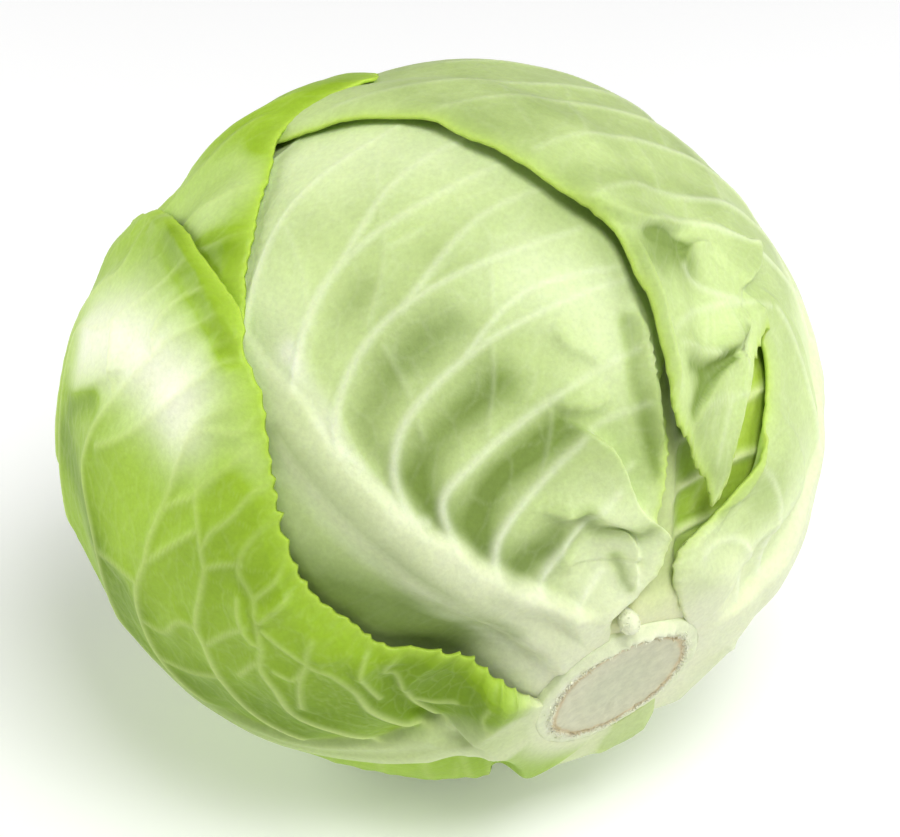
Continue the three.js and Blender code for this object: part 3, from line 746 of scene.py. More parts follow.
def skins(leaf):
    """The leaf's outer and inner faces, sawn off at the stem and flattened where the head's weight presses them."""
    above = LAYERS - 1 - leaf.layer
    level = above * (PRESSED_BLADE + PRESSED_GAP)
    down = np.maximum(-leaf.d[..., 2], CUT_REACH)
    beyond = np.clip(CUT_LEVEL * np.hypot(leaf.d[..., 0], leaf.d[..., 1]) / down - STEM_RADIUS, 0, CUT_BEND)
    sawn = (CUT_LEVEL - above * CUT_STEP - CUT_FALL * beyond**2) / down
    cut = np.where(leaf.d[..., 2] < -CUT_REACH, sawn, TOP_REACH)
    inner = leaf.r + leaf.lift
    outer = inner + leaf.thick
    inner = np.minimum(inner, np.minimum(cut - CUT_BLADE, pressed_to(leaf.d, level + PRESSED_BLADE)))
    outer = -CUT_ROUND * np.logaddexp(-outer / CUT_ROUND, -cut / CUT_ROUND)
    outer = np.minimum(outer, pressed_to(leaf.d, level))
    leaf.outer = leaf.d * outer[..., None] + leaf.shift
    leaf.inner = leaf.d * inner[..., None] + leaf.shift


def on_leaf(leaf, run, v):
    """Points of the leaf's outer face at so many mm along the midrib and at shares from it to the margin."""
    u = np.interp(run, leaf.run, leaf.u)
    i = np.clip(np.interp(u, leaf.u, np.arange(leaf.rows)), 0, leaf.rows - 1.001)
    j = np.clip(np.interp(v, leaf.share, np.arange(len(leaf.share))), 0, len(leaf.share) - 1.001)
    a, b = i.astype(int), j.astype(int)
    f, g = (i - a)[:, None], (j - b)[:, None]
    p = leaf.outer
    return (p[a, b] * (1 - f) + p[a + 1, b] * f) * (1 - g) + (p[a, b + 1] * (1 - f) + p[a + 1, b + 1] * f) * g


def traced(leaf, lines):
    """Veins drawn as lines on the head, laid on the leaf's outer face."""
    found = []
    for line in lines:
        way = direction(*spline(line, np.linspace(0, 1, 10 * len(line))).T)
        face = leaf.outer.reshape(-1, 3)[(way @ leaf.d.reshape(-1, 3).T).argmax(axis=1)]
        out = np.convolve(np.pad(np.linalg.norm(face, axis=1), 2, mode="edge"), np.ones(5) / 5, "valid")
        found.append(way * out[:, None])
    return found


def main_veins(leaf, seed, sides=(-1, 1), pitch=11):
    """Veins that part from the midrib at so many mm, run beside it, swing out, and fork before the margin."""
    dice = np.random.default_rng(seed)
    lines = []
    for sign in sides:
        for start in np.arange(pitch, leaf.run[-1] - pitch / 2, pitch):
            v = np.linspace(0, VEIN_END, 60)
            half = np.interp(start, leaf.run, leaf.wide[0 if sign < 0 else 1])
            drift = 1.3 * ripple(v * 10, 2.2, seed * 100 + int(start) + (sign > 0)) * np.minimum(v * 3, 1)
            at = start - 11 * np.exp(-v * half / 8) + drift
            lines.append(on_leaf(leaf, at, sign * v))
            fork = dice.uniform(0.42, 0.66)
            t = np.linspace(0, 1, 16)
            at = start + np.interp(fork, v, drift) + dice.choice([-1, 1]) * dice.uniform(0.3, 0.45) * pitch * t**0.8
            if 0 < at.min() and at.max() < leaf.run[-1]:
                lines.append(on_leaf(leaf, at, sign * (fork + (VEIN_END - fork) * t)))
    return lines


def side_veins(leaf, seed, sides=(-1, 1), pitch=11):
    """The cross links between neighbouring main veins, leaning outwards, some of them joined by a spur."""
    dice = np.random.default_rng(seed)
    lines = []
    t = np.linspace(0, 1, 14)
    for sign in sides:
        for start in np.arange(pitch, leaf.run[-1] - pitch, pitch):
            half = np.interp(start, leaf.run, leaf.wide[0 if sign < 0 else 1])
            v = dice.uniform(0.1, 0.2)
            while v < 0.9:
                out = v + dice.uniform(-0.05, 0.14) * t + dice.uniform(-0.04, 0.04) * np.sin(np.pi * t)
                lines.append(on_leaf(leaf, start + pitch * t, sign * np.clip(out, 0, VEIN_END)))
                if dice.uniform() < 0.4:
                    f = dice.uniform(0.3, 0.7)
                    spur = np.interp(f, t, out) + pitch / half * dice.uniform(0.7, 1.1) * t
                    at = start + pitch * (f + dice.uniform(-0.25, 0.25) * t)
                    lines.append(on_leaf(leaf, at, sign * np.clip(spur, 0, VEIN_END)))
                v += pitch / half * dice.uniform(1.5, 2.3)
    return lines


def wires(name, lines):
    mesh = bpy.data.meshes.new(name)
    starts = np.cumsum([0] + [len(line) for line in lines])
    edges = [(s + k, s + k + 1) for s, line in zip(starts, lines) for k in range(len(line) - 1)]
    mesh.from_pydata(in_room(np.vstack(lines)).tolist(), edges, [])
    return placed(name, mesh)


def relief_tree():
    """Raises the skin of a leaf along its veins, strings the blade between them and nets it finely."""
    tree, given = new_tree("leaf_relief", "Leaf", {"Main veins": "Object", "Side veins": "Object"}, SOFT_VEINS)
    stout, flat, out = marked(tree, "stout"), marked(tree, "flat", "FLOAT_VECTOR"), marked(tree, "out", "FLOAT_VECTOR")
    slim = reckon(tree, "MULTIPLY_ADD", stout, 0.35, 0.65)
    faint = reckon(tree, "MULTIPLY_ADD", stout, 0.5, 0.5)
    away, ridge = {}, {}
    for kind in ("Main", "Side"):
        wire = node(tree, "GeometryNodeObjectInfo", {"Object": given[kind + " veins"]}, transform_space="ORIGINAL")
        near = node(tree, "GeometryNodeProximity", {"Geometry": wire.outputs["Geometry"]}, target_element="EDGES")
        away[kind] = near.outputs["Distance"]
        ridge[kind] = bell(tree, away[kind], product(tree, given[kind + " width"], slim))

    # the fine net, drawn on the leaf laid flat and pulled a little out of line
    bends = node(tree, "ShaderNodeTexNoise", {"Vector": flat, "Scale": NET_BEND_SCALE, "Detail": 1.0}).outputs["Color"]
    warped = node(tree, "ShaderNodeVectorMath", {0: bends, 1: NET_BEND, 2: flat}, operation="MULTIPLY_ADD")
    cells = scaled(tree, warped.outputs[0], reckon(tree, "DIVIDE", 1.0, given["Net pitch"]))
    borders = node(tree, "ShaderNodeTexVoronoi", {
        "Vector": cells, "Scale": 1.0}, feature="DISTANCE_TO_EDGE", voronoi_dimensions="2D")
    net = bell(tree, product(tree, borders.outputs["Distance"], given["Net pitch"]), given["Net width"])

    # the blade strung like a tent between its veins, and its broad swells
    nearest = reckon(tree, "MINIMUM", away["Main"], away["Side"])
    tent = reckon(tree, "EXPONENT", product(tree, reckon(tree, "DIVIDE", nearest, given["Tent width"]), -1.0))
    here = node(tree, "GeometryNodeInputPosition").outputs[0]
    swell = noise(tree, here, reckon(tree, "DIVIDE", 1.0, given["Swell pitch"]), 1.5)

    # how high each point rises, and how much of the veins' colour it takes
    height = reckon(tree, "MAXIMUM", product(tree, ridge["Main"], given["Main height"], stout),
                    product(tree, ridge["Side"], given["Side height"], faint))
    height = reckon(tree, "MAXIMUM", height, product(tree, net, given["Net height"]))
    height = reckon(tree, "ADD", height, product(tree, tent, given["Tent height"]))
    height = reckon(tree, "MULTIPLY_ADD", swell, given["Swell"], height)
    tint = reckon(tree, "MAXIMUM", product(tree, ridge["Main"], reckon(tree, "MULTIPLY_ADD", stout, 0.62, 0.12)),
                  product(tree, faint, given["Side tint"], ridge["Side"]))
    tint = reckon(tree, "MAXIMUM", tint, product(tree, net, given["Net tint"]))
    inside = reckon(tree, "MINIMUM", product(tree, marked(tree, "inset"), 1 / RIM_REACH), 1.0)
    shown = {"Geometry": given["Leaf"], "Name": "vein", "Value": product(tree, tint, inside)}
    kept = node(tree, "GeometryNodeStoreNamedAttribute", shown, data_type="FLOAT", domain="POINT")
    offset = scaled(tree, out, product(tree, height, inside))
    moved = node(tree, "GeometryNodeSetPosition", {"Geometry": kept.outputs[0], "Offset": offset})
    whole = node(tree, "GeometryNodeRealizeInstances", {"Geometry": moved.outputs[0]})
    end_tree(tree, "Leaf", whole.outputs[0], given)
    return tree


leaf_relief = relief_tree()


def grid_faces(index, middle, finer):
    """Faces of a leaf's grid, closed along the tip row, where a coarser half takes each second point of the other."""
    tip = index[-1].copy()
    if finer > 0:
        index[-1, :middle] = tip[:middle:-2]
    elif finer < 0:
        index[-1, middle + 1:] = tip[middle - 2::-2]
    else:
        index[-1, :middle] = tip[:middle:-1]
    faces = np.stack([index[:-1, :-1], index[:-1, 1:], index[1:, 1:], index[1:, :-1]], -1).reshape(-1, 4).tolist()
    last = (len(index) - 2) * (index.shape[1] - 1)
    for j in {1: range(middle), 0: (), -1: range(middle, index.shape[1] - 1)}[finer]:
        faces[last + j].insert(3, int(tip[middle + 2 * finer * abs(middle - j) - 1]))
    return faces


def leaf_piece(name, leaf, finish, veins, main, side, base_pale=0.9, base_reach=15, calm=1):
    """Joins the two faces of a leaf at its rim, raises its veins and leaves a plain mesh."""
    rows, wide = leaf.rows, len(leaf.share)
    index = np.arange(rows * wide).reshape(rows, wide)
    thin = (slice(0, None, 2), slice(0, None, 2))
    back = rows * wide + np.arange(index[thin].size).reshape(index[thin].shape)
    faces = grid_faces(index, leaf.middle, leaf.finer)
    faces += [face[::-1] for face in grid_faces(back, leaf.middle // 2, leaf.finer)]
    for rim, inner, turn in ((index[:, 0], back[:, 0], 1), (index[:, -1], back[:, -1], -1), (index[0], back[0], -1)):
        for k in range(len(inner) - 1):
            a, b, c = rim[2 * k], rim[2 * k + 1], rim[2 * k + 2]
            p, q = inner[k], inner[k + 1]
            faces += [tuple(int(x) for x in trio[::turn]) for trio in ((p, a, b), (p, b, q), (q, b, c))]

    def both(values):
        return np.concatenate([values.reshape(rows * wide, -1), values[thin].reshape(back.size, -1)]).squeeze()

    share = leaf.share[None, :]
    along = leaf.u[:, None] * leaf.reach + 0 * share
    across = np.where(share < 0, leaf.wide[0][:, None], leaf.wide[1][:, None]) * share
    pale = np.exp(-((0.85 * leaf.sideways) ** 6)) * (0.15 + 0.85 * leaf.fade)
    pale *= 0.75 + 0.25 * np.minimum(leaf.sideways, 1) ** 2
    pale = np.maximum(pale, base_pale * np.exp(-((np.maximum(leaf.base, 0) / base_reach) ** 2)))
    # the pale rib and base colour gives way where painted shade lies
    pale = pale * (1 - 0.9 * np.clip(leaf.tone, 0, 1))
    off_rib = 1 - np.exp(-((leaf.sideways / 1.05) ** 4))
    inset = np.clip(leaf.edge_mm, 0, RIM_REACH) * off_rib * np.where(share < 0, calm, 1)
    inset = inset * np.clip(leaf.base / FOOT_CALM, 0.1, 1)
    outside = np.concatenate([np.ones(rows * wide), np.zeros(back.size)])
    piece = new_piece(name, np.concatenate([leaf.outer.reshape(-1, 3), leaf.inner[thin].reshape(-1, 3)]), faces, {
        "out": both(leaf.d) @ head_turn.T * outside[:, None],
        "flat": both(np.stack([along, across, 0 * along], -1)) / 1000,
        "stout": both(np.clip(1.05 - np.abs(share) ** 1.2, 0, 1) * (0.45 + 0.55 * leaf.fade)),
        "inset": both(inset),
        "pale": np.clip(both(pale), 0, 1),
        "edge": np.exp(-both(leaf.edge_mm) / 1.3),
        "tone": both(leaf.tone),
    })
    wired = {"Main veins": wires("main_veins", main), "Side veins": wires("side_veins", side)}
    worked_in(piece, leaf_relief, {**veins, **wired, "Finish": finish})
    for wire in wired.values():
        bpy.data.objects.remove(wire)
    places = mesh_points(piece.data)
    places[:, 2] = np.maximum(places[:, 2], 0)
    piece.data.vertices.foreach_set("co", places.ravel())
    for spent in ("out", "stout", "inset"):
        piece.data.attributes.remove(piece.data.attributes[spent])
    return piece


inner_midrib = bent_midrib((8, 15), (12, 118), 11)
inner_left, inner_right = (plain_side(inner_midrib, width, 165) for width in (-62, 70))
leaf = laid_leaf(inner_midrib, inner_left, inner_right, 0, rib=0.8, cell=1.4, seed=11)
lay_painted_shading(leaf, INNER_PAINTED_SHADE)
skins(leaf)
inner_veins = {**SOFT_VEINS, "Swell": 0.0005}
inner_leaf = leaf_piece(
    "inner_leaf", leaf, inner_green, inner_veins, main_veins(leaf, 11), side_veins(leaf, 61), base_reach=10)
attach(inner_leaf, "root")
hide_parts("leaf_inner")
lay_down(inner_leaf)

# The front leaf: the broad pale one in the middle of the picture, with a white midrib that sweeps up to the left.
# Its veins are soft and wide, and its right side is gathered into folds where it turns down beside the stem.
FRONT_MIDRIB = [
    (-33, 15), (-34, 18), (-37, 22), (-41, 27), (-44, 33), (-46, 40), (-47.5, 48), (-48.5, 59), (-48.5, 70),
    (-48, 80), (-48.5, 91), (-49, 102), (-50, 113),
]
FRONT_RIGHT = [
    # halfway point, margin point, lifts
    (-27, 15, -20, 15), (-25, 19, -15, 20.5), (-19, 24, -5, 22.3, 0.5, 2), (-15, 30, 1.5, 26.5, 1, 3.5),
    (-14, 38, 4, 33, 1, 3), (-17, 46, 8.5, 42, 1, 1.5), (-18, 57, 10.5, 54, 0, 0.5), (-19, 68, 15, 65),
    (-24, 80, 15, 78), (-25, 93, 13, 94), (-28, 106, 5, 110), (-28, 114, -12, 126), (-44, 127, -36, 142),
]
FRONT_FOLDS = [
    # crest line, rise, reach to the left and right of it, lean, in mm
    ([(-10, 53), (-8, 50), (-6, 46), (-5, 41), (-4, 38), (-1, 35), (3, 32), (5, 29), (3, 27),
     (-2, 25)], 5.4, 1.2, 6, 2.0),
    ([(-22, 43), (-17, 41), (-13, 40.5), (-10, 38), (-5, 35), (-1, 33)], 2.8, 4, 1.1, -0.8),
    ([(-16, 41), (-20, 38), (-22, 35), (-22, 30)], 1.7, 4, 2.5, 0),
    ([(-12, 36), (-8, 34.5), (-6, 32), (-6, 30), (-6, 28), (-6, 24)], 3.4, 1.0, 3.0, 0.9),
    ([(-12, 57), (-8, 55), (-4, 54), (0, 55)], 1.5, 4, 1.0, 0),
    ([(-6, 68), (-5, 64), (-3, 62), (0, 59)], 1.3, 3, 1.3, 0),
    ([(8.5, 67), (7.4, 61), (7, 55), (6.5, 49), (6.4, 44.5)], 3.0, 0.9, 0.8, 0.6),
    ([(-23, 89), (-19, 89), (-15, 89)], 0.5, 1.0, 1.0, 0),
]
FRONT_VEINS = [
    [(-47, 84), (-46, 91), (-30, 104), (-9, 108)], [(-46, 73), (-45, 79), (-29, 90), (-1, 93)],
    [(-44, 64), (-43, 71), (-27, 79), (5, 79)], [(-44, 50), (-43, 55), (-40, 61), (-32, 66), (-15, 69), (9, 70)],
    [(-42, 41), (-41, 46), (-37, 53), (-28, 55), (-14, 57), (8, 60)],
    [(-40, 35), (-38, 39), (-33, 43), (-20, 47), (-6, 51), (6, 52)], [(-36, 27), (-31, 32), (-15, 38), (0, 44)],
    [(-34, 21), (-28, 25), (-14, 29)], [(-33, 17), (-25, 20), (-16, 22)],
    [(-49, 96), (-46, 103), (-34, 115), (-22, 120)], [(-29, 90), (-14, 98), (4, 100)],
    [(-25, 79), (-8, 86), (8, 87)], [(-22, 68), (-8, 73), (8, 72)], [(-42, 52), (-50, 62), (-56, 72)],
    [(-44, 66), (-52, 76), (-56, 86)], [(-58, 24), (-57, 34), (-56, 46), (-55, 58), (-54, 70), (-53, 80)],
]
FRONT_LINKS = [
    [(-33, 62), (-31, 68), (-30, 76)], [(-24, 57), (-19, 63), (-16, 68)], [(-15, 69), (-12, 75), (-10, 79)],
    [(-19, 48), (-14, 53), (-11, 58)], [(-30, 80), (-24, 86), (-20, 92)], [(-38, 84), (-34, 92), (-32, 101)],
    [(-10, 79), (-8, 83), (-9, 90)], [(-20, 93), (-18, 98), (-14, 105)],
]
# Painted shade in the troughs between veins, in the hollows, beside the lip and left of the midrib; painted highlights
# on the blade and along the midrib's flank.
FRONT_PAINTED_SHADING = [
    # line of each stroke, its width in mm, strength: painted shade above nought, painted highlight below
    ([(-41, 51), (-38, 57), (-33, 60), (-25, 62), (-18, 63)], 4.5, 0.8),
    ([(-38, 43), (-33, 48), (-26, 51), (-18, 52), (-12, 53)], 4, 0.95),
    ([(-36, 36), (-30, 37), (-25, 37), (-21, 38)], 4.5, 0.95),
    ([(-42, 61), (-40, 67), (-34, 71), (-27, 73), (-20, 74)], 4.5, 0.55),
    ([(-70, 66), (-66, 55), (-65, 45), (-65, 34)], 8.0, 0.8), ([(-44, 76), (-38, 81), (-28, 85)], 3.5, 0.25),
    ([(-44, 105), (-44, 95), (-41, 86)], 9, -0.3), ([(-25, 112), (-12, 105), (0, 98)], 14, -0.3),
    ([(-5, 75), (2, 68), (4, 60)], 9, -0.35), ([(-12, 36), (-8, 30), (-4, 25)], 9, -0.4),
    ([(6.2, 64), (5.0, 58), (4.7, 52), (4.5, 47), (5.5, 42)], 1.8, 0.65),
    ([(-14, 40), (-12, 36), (-7, 34.5), (-3, 34)], 1.7, 0.75),
    ([(-10, 31), (-9, 29), (-9, 27), (-8, 25.5)], 1.0, 0.9),
    ([(-36, 32), (-41, 42), (-43, 52), (-43.5, 63), (-43, 74), (-42, 84)], 2.6, -0.7),
    ([(-49, 27), (-50, 40), (-50, 52), (-50, 64), (-50, 76)], 2.2, 0.5),
]
# the deeper colour serves random mottling and painted shade, the lightest one only painted highlights
pale_green = leaf_finish(
    "pale_leaf", blade=(0.61, 0.75, 0.32), deep_mottle_and_shade=(0.20, 0.29, 0.06), painted_highlight=(0.87, 0.93, 0.68), vein=(0.86, 0.92, 0.68),
    rib=(0.77, 0.80, 0.57), edge=(0.50, 0.68, 0.13))
front_right = shown_side(FRONT_RIGHT)
front_left = plain_side(FRONT_MIDRIB, -76, 160, front_right, foot=2)
leaf = laid_leaf(FRONT_MIDRIB, front_left, front_right, 1, cell=0.72, finer=1, seed=21)
folded(leaf, FRONT_FOLDS)
lay_painted_shading(leaf, FRONT_PAINTED_SHADING)
skins(leaf)
front_leaf = leaf_piece(
    "front_leaf", leaf, pale_green, SOFT_VEINS, traced(leaf, FRONT_VEINS), traced(leaf, FRONT_LINKS), calm=0.4)
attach(front_leaf, "root")
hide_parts("leaf_front")
lay_down(front_leaf)

# The back leaf: the same kind of wrapper on the far side of the head. The picture does not show it.
# It covers the back from the stem to the top, and is seen from behind and below.
BACK_MIDRIB = bent_midrib((148, 15), (140, 144), 12)
back_left, back_right = (plain_side(BACK_MIDRIB, width, 196, foot=1.3) for width in (-74, 78))
leaf = laid_leaf(BACK_MIDRIB, back_left, back_right, 2, rib=0.9, cell=1.2, seed=31)
skins(leaf)
back_veins = {**SOFT_VEINS, "Swell": 0.001}
back_leaf = leaf_piece("back_leaf", leaf, pale_green, back_veins, main_veins(leaf, 31), side_veins(leaf, 81))
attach(back_leaf, "root")
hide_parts("leaf_back")
lay_down(back_leaf)

# The right-hand leaf: its smooth midrib runs up the right flank, and its free left half is crumpled.
# The margin is split down in a cleft, and beside it turned over in a bright lip.
RIGHT_MIDRIB = [
    (92, 15), (91, 18), (89, 22), (87, 27), (85, 33), (82, 40), (79, 46), (77, 51), (76, 55), (75.5, 58), (75, 60.5),
    (74.5, 62.5), (74, 64.5), (73.5, 66.5), (73, 68.5), (72.5, 71), (72, 74), (71, 77), (70, 81), (69, 86), (67, 92),
    (65, 99), (61, 107), (57, 116), (52, 125), (48, 133), (44, 140),
]
RIGHT_LEFT = [
    (66, 15, 42, 15), (58, 19, 22, 19), (52, 26, 13, 24), (52, 31, 17, 28), (58, 37, 28, 32), (61, 44, 36, 37),
    (61, 50, 40, 44), (61, 56, 43, 51), (57, 62, 43, 57), (50, 66, 40, 60.5, 0.5, 0.5), (43, 69, 37, 61.5, 0.5, 1),
    (39, 70, 32, 55, 1, 2), (37, 71, 28, 45, 1.5, 3), (35, 72, 26, 35, 1.5, 3), (33, 73, 20, 39, 1.5, 3),
    (32, 75, 13.5, 44.5, 1.5, 2.5), (31, 77, 7.5, 50.5, 1.5, 2.5), (32, 80, 7.3, 60, 1, 2.3),
    (34, 84, 8.4, 68.5, 0.5, 2.7), (35, 89, 7.8, 76.5, 0, 3), (34, 95, 2, 86, 0, 3), (31, 102, -2, 95, 0, 2.5),
    (26, 111, -7, 105, 0, 1.5), (19, 121, -15, 114, 0, 0.5), (10, 133, -29, 122), (6, 143, -44, 133),
    (16, 155, -40, 150),
]
RIGHT_FOLDS = [
    ([(10, 76), (10, 71), (9.6, 66), (8.8, 61), (8.4, 56), (8.3, 51)], 2.0, 0.8, 1.0, 0.5),
    ([(4, 84), (8, 80), (13, 77), (19, 76.5), (26, 77.5)], 2.0, 4, 1.1, -0.5),
    ([(19, 70), (21, 72), (23, 73), (28, 74)], 2.0, 1.1, 3, 0.3),
    ([(41, 77), (41, 75), (38, 71.5), (34, 69), (31, 67)], 2.2, 0.9, 7, 0.9),
    ([(33, 67), (36, 65), (38, 62.5), (39, 59), (39, 55), (40, 50), (41, 45), (40, 40), (36, 35)], 2.4, 0.9, 8, 0.9),
    ([(32, 64), (31, 61.5), (29, 60), (25, 58.5), (22, 57.5)], 2.0, 1.1, 3, 0.4),
    ([(11, 59), (15, 58), (18, 57), (22, 57), (26, 58), (31, 58)], 1.9, 2.5, 1.1, 0),
    ([(30, 57), (27, 56), (23, 54), (19, 51), (15, 49), (13, 48)], 2.6, 4, 0.9, -1.0),
    ([(31, 57), (30, 54), (28, 50), (26, 45)], 1.2, 1.2, 2, 0),
    ([(33, 50), (32, 45), (31, 41), (29, 37)], 1.2, 1.0, 3, 0),
    ([(40, 52), (47, 50), (57, 48), (65, 45), (69, 42), (69, 38), (65, 32), (56, 27)], 0.9, 1.2, 7, 0),
    ([(37, 69), (46, 67), (56, 64), (64, 60), (69, 55), (72, 48)], 0.9, 1.2, 6, 0),
    ([(41, 43), (38, 37), (32, 33.5), (28, 31.5), (19, 28.5), (13, 26)], 0.9, 1.2, 1.2, 0),
]
RIGHT_VEINS = [
    [(-15, 118), (-5, 114), (6, 111), (24, 108), (45, 108), (60, 106)],
    [(-7, 105), (1, 104), (13, 103), (30, 101), (50, 99), (64, 95)],
    [(3, 91), (8, 92), (16, 93), (30, 93), (50, 91), (67, 86)],
    [(6, 81), (9, 82), (17, 83), (27, 82), (45, 83), (62, 80), (70, 75)],
    [(12, 76), (19, 77), (28, 77), (36, 76), (45, 75), (58, 73), (70, 69)],
    [(11, 61), (17, 63), (24, 64), (32, 65), (42, 66)], [(19, 70), (20, 68), (24, 66), (30, 65)],
    [(12, 59), (17, 58), (23, 57)], [(18, 50), (25, 51), (31, 51.5), (38, 52)],
    [(25, 51), (24, 48), (23, 44), (22, 41)], [(45, 108), (30, 116), (12, 124)],
    [(38, 42), (50, 40), (62, 34), (74, 30)], [(24, 27), (40, 30), (56, 28), (72, 24)],
    [(44, 66), (55, 61), (66, 55), (74, 50)],
]
RIGHT_LINKS = [
    [(13, 92), (16, 97), (18, 103)], [(33, 93), (35, 97), (36, 101)], [(22, 83), (24, 88), (24, 93)],
    [(38, 83), (41, 87), (43, 92)], [(24, 77), (26, 80), (27, 82)], [(20, 104), (22, 107), (20, 109)],
    [(22, 64), (21, 61), (19, 58)], [(27, 65), (28, 61), (27, 58)], [(30, 51), (29, 48), (29, 45)],
    [(21, 50), (20, 48), (20, 46)], [(8, 105), (9, 108), (8, 111)], [(52, 91), (53, 95), (54, 99)],
]
# painted shade in the fold hollows and pleat slots, painted highlight along the midrib band on the right flank and low
# on the leaf
RIGHT_PAINTED_SHADING = [
    ([(13, 72), (17, 72), (20, 70)], 4, 0.5), ([(13, 75), (17, 74.5), (21, 73.5)], 1.4, 0.7),
    ([(30, 60.5), (27, 58.5), (23, 57)], 1.3, 0.6), ([(14, 56), (19, 55), (25, 56)], 1.4, 0.6),
    ([(25, 56.5), (21, 54.5), (17, 52), (13, 50)], 1.6, 0.7), ([(36, 46), (36, 40), (32, 34)], 2.5, 0.6),
    ([(31, 52), (30, 46), (28, 41)], 2, 0.25), ([(70, 72), (80, 56), (88, 40), (90, 26)], 14, -0.4),
    ([(48, 28), (60, 34), (66, 44)], 9, -0.3), ([(5, 85), (20, 84), (35, 83)], 4, 0.2),
    ([(0, 98), (20, 97), (40, 96)], 9, 0.25), ([(16, 58), (20, 48), (22, 40)], 7, 0.3),
    ([(48, 38), (40, 29), (28, 24)], 6, 0.35), ([(90, 28), (98, 20)], 8, 0.2),
]
right_left = shown_side(RIGHT_LEFT, teeth=[1.0] * 4 + [0.3] * 6 + [0.8, 1.5, 1.7, 1.5, 1.7, 1.7, 1.5] + [0.3] * 10)
right_right = plain_side(RIGHT_MIDRIB, 56, 192, right_left, foot=1.8)
leaf = laid_leaf(RIGHT_MIDRIB, right_left, right_right, 3, cell=0.83, finer=-1, seed=41)
folded(leaf, RIGHT_FOLDS)
lay_painted_shading(leaf, RIGHT_PAINTED_SHADING)
skins(leaf)
right_veins = traced(leaf, RIGHT_VEINS) + main_veins(leaf, 41, (1,), 16)
right_leaf = leaf_piece("right_leaf", leaf, pale_green, SOFT_VEINS, right_veins, traced(leaf, RIGHT_LINKS))
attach(right_leaf, "root")
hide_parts("leaf_right")
lay_down(right_leaf)

# The upper leaf: it comes over the top from the left and behind, and its margin crosses the front leaf.
# Its skin is greener than the front leaf's, and near its tip the margin is pressed flat on the leaf below.
UPPER_MIDRIB = [
    (-170, 15), (-168, 22), (-165, 31), (-162, 40), (-160, 51), (-157, 63), (-155, 76), (-152, 89), (-149, 102),
    (-145, 116), (-140, 130), (-132, 144),
]
UPPER_RIGHT = [
    (-158, 15, -146, 15), (-146, 25, -124, 27), (-132, 34, -98, 36), (-122, 44, -80, 45), (-117, 57, -72, 58),
    (-110, 71, -62, 72), (-103, 86, -52, 84), (-98, 101, -42, 96), (-92, 115, -34, 108), (-86, 130, -22, 122),
    (-84, 146, -2, 128), (-90, 161, 30, 162),
]
GREEN_VEINS = {
    "Main height": 0.0006, "Main width": 0.0011, "Side height": 0.0003, "Side width": 0.0009, "Side tint": 0.5,
    "Tent height": 0.0015, "Tent width": 0.005, "Net pitch": 0.006, "Net height": 0.0001, "Net width": 0.0004,
    "Net tint": 0.08, "Swell": 0.0013, "Swell pitch": 0.024,
}
UPPER_TIP = [(-20, 124), (-2, 128), (14, 140), (30, 158)]
UPPER_PRESSED, UPPER_TIP_REACH = 1.5, 9
UPPER_VEINS = [
    [(-70, 132), (-52, 129), (-38, 125), (-26, 126)], [(-66, 112), (-56, 114), (-46, 115), (-39, 113), (-32, 111)],
    [(-60, 104), (-50, 108), (-42, 105), (-37, 104)], [(-80, 140), (-60, 140), (-38, 134), (-18, 128)],
]
# painted shade and painted highlights on the blade near the margin
UPPER_PAINTED_SHADING = [
    ([(-44, 106), (-40, 102), (-37, 99)], 3, 0.5), ([(-42, 112), (-34, 112), (-30, 110)], 6, -0.25),
    ([(-50, 124), (-34, 119)], 6, -0.15), ([(-28, 120), (-18, 124), (-8, 127)], 3, 0.25),
]
# the deeper colour serves random mottling and painted shade, the lightest one only painted highlights
green = leaf_finish(
    "green_leaf", blade=(0.39, 0.60, 0.045), deep_mottle_and_shade=(0.18, 0.31, 0.004), painted_highlight=(0.92, 0.96, 0.72),
    vein=(0.74, 0.86, 0.36), rib=(0.72, 0.77, 0.50), edge=(0.44, 0.64, 0.07), bloom=0.02)
upper_right = shown_side(UPPER_RIGHT, curl=0.25)
upper_left = plain_side(UPPER_MIDRIB, -66, 196, upper_right, foot=1.3)
leaf = laid_leaf(UPPER_MIDRIB, upper_left, upper_right, 4, rib=0.55, cell=0.9, finer=1, seed=51)
leaf.r = leaf.r - UPPER_PRESSED * np.exp(-((near_line(leaf.d, UPPER_TIP)[0] / UPPER_TIP_REACH) ** 2))
lay_painted_shading(leaf, UPPER_PAINTED_SHADING)
skins(leaf)
upper_veins = traced(leaf, UPPER_VEINS) + main_veins(leaf, 51, (-1,))
upper_links = side_veins(leaf, 101, (-1,))
upper_leaf = leaf_piece("upper_leaf", leaf, green, GREEN_VEINS, upper_veins, upper_links, base_pale=0.5)
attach(upper_leaf, "root")
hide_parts("leaf_upper")
lay_down(upper_leaf)

# The outer leaf: the greenest, wrapped round the left side and under the head, which lies on it.
# Its blade is netted with raised veins and its margin is finely toothed down to the stem.
OUTER_MIDRIB = [
    (-101, 15), (-103, 18), (-107, 22), (-114, 28), (-119, 35), (-121, 43), (-121, 52), (-118, 62), (-114, 73),
    (-110, 84), (-107, 95), (-104, 106), (-102, 117), (-101, 126), (-101, 133), (-101, 140),
]
OUTER_RIGHT = [
    (-90, 15, -80, 15), (-88, 19, -74, 20, 0, 0.3), (-89, 27, -67, 27, 0, 1.5), (-91, 34, -66, 32, 0, 2),
    (-92, 42, -71, 41, 0, 1.5), (-92, 49, -71, 48, 0, 0.5), (-91, 59, -68, 57), (-86, 69, -59, 67), (-82, 80, -51, 77),
    (-79, 92, -46, 86), (-77, 105, -44, 97), (-76, 118, -46, 112), (-78, 130, -52, 127), (-80, 137, -66, 141),
    (-86, 145, -82, 155), (-104, 153, -104, 166),
]
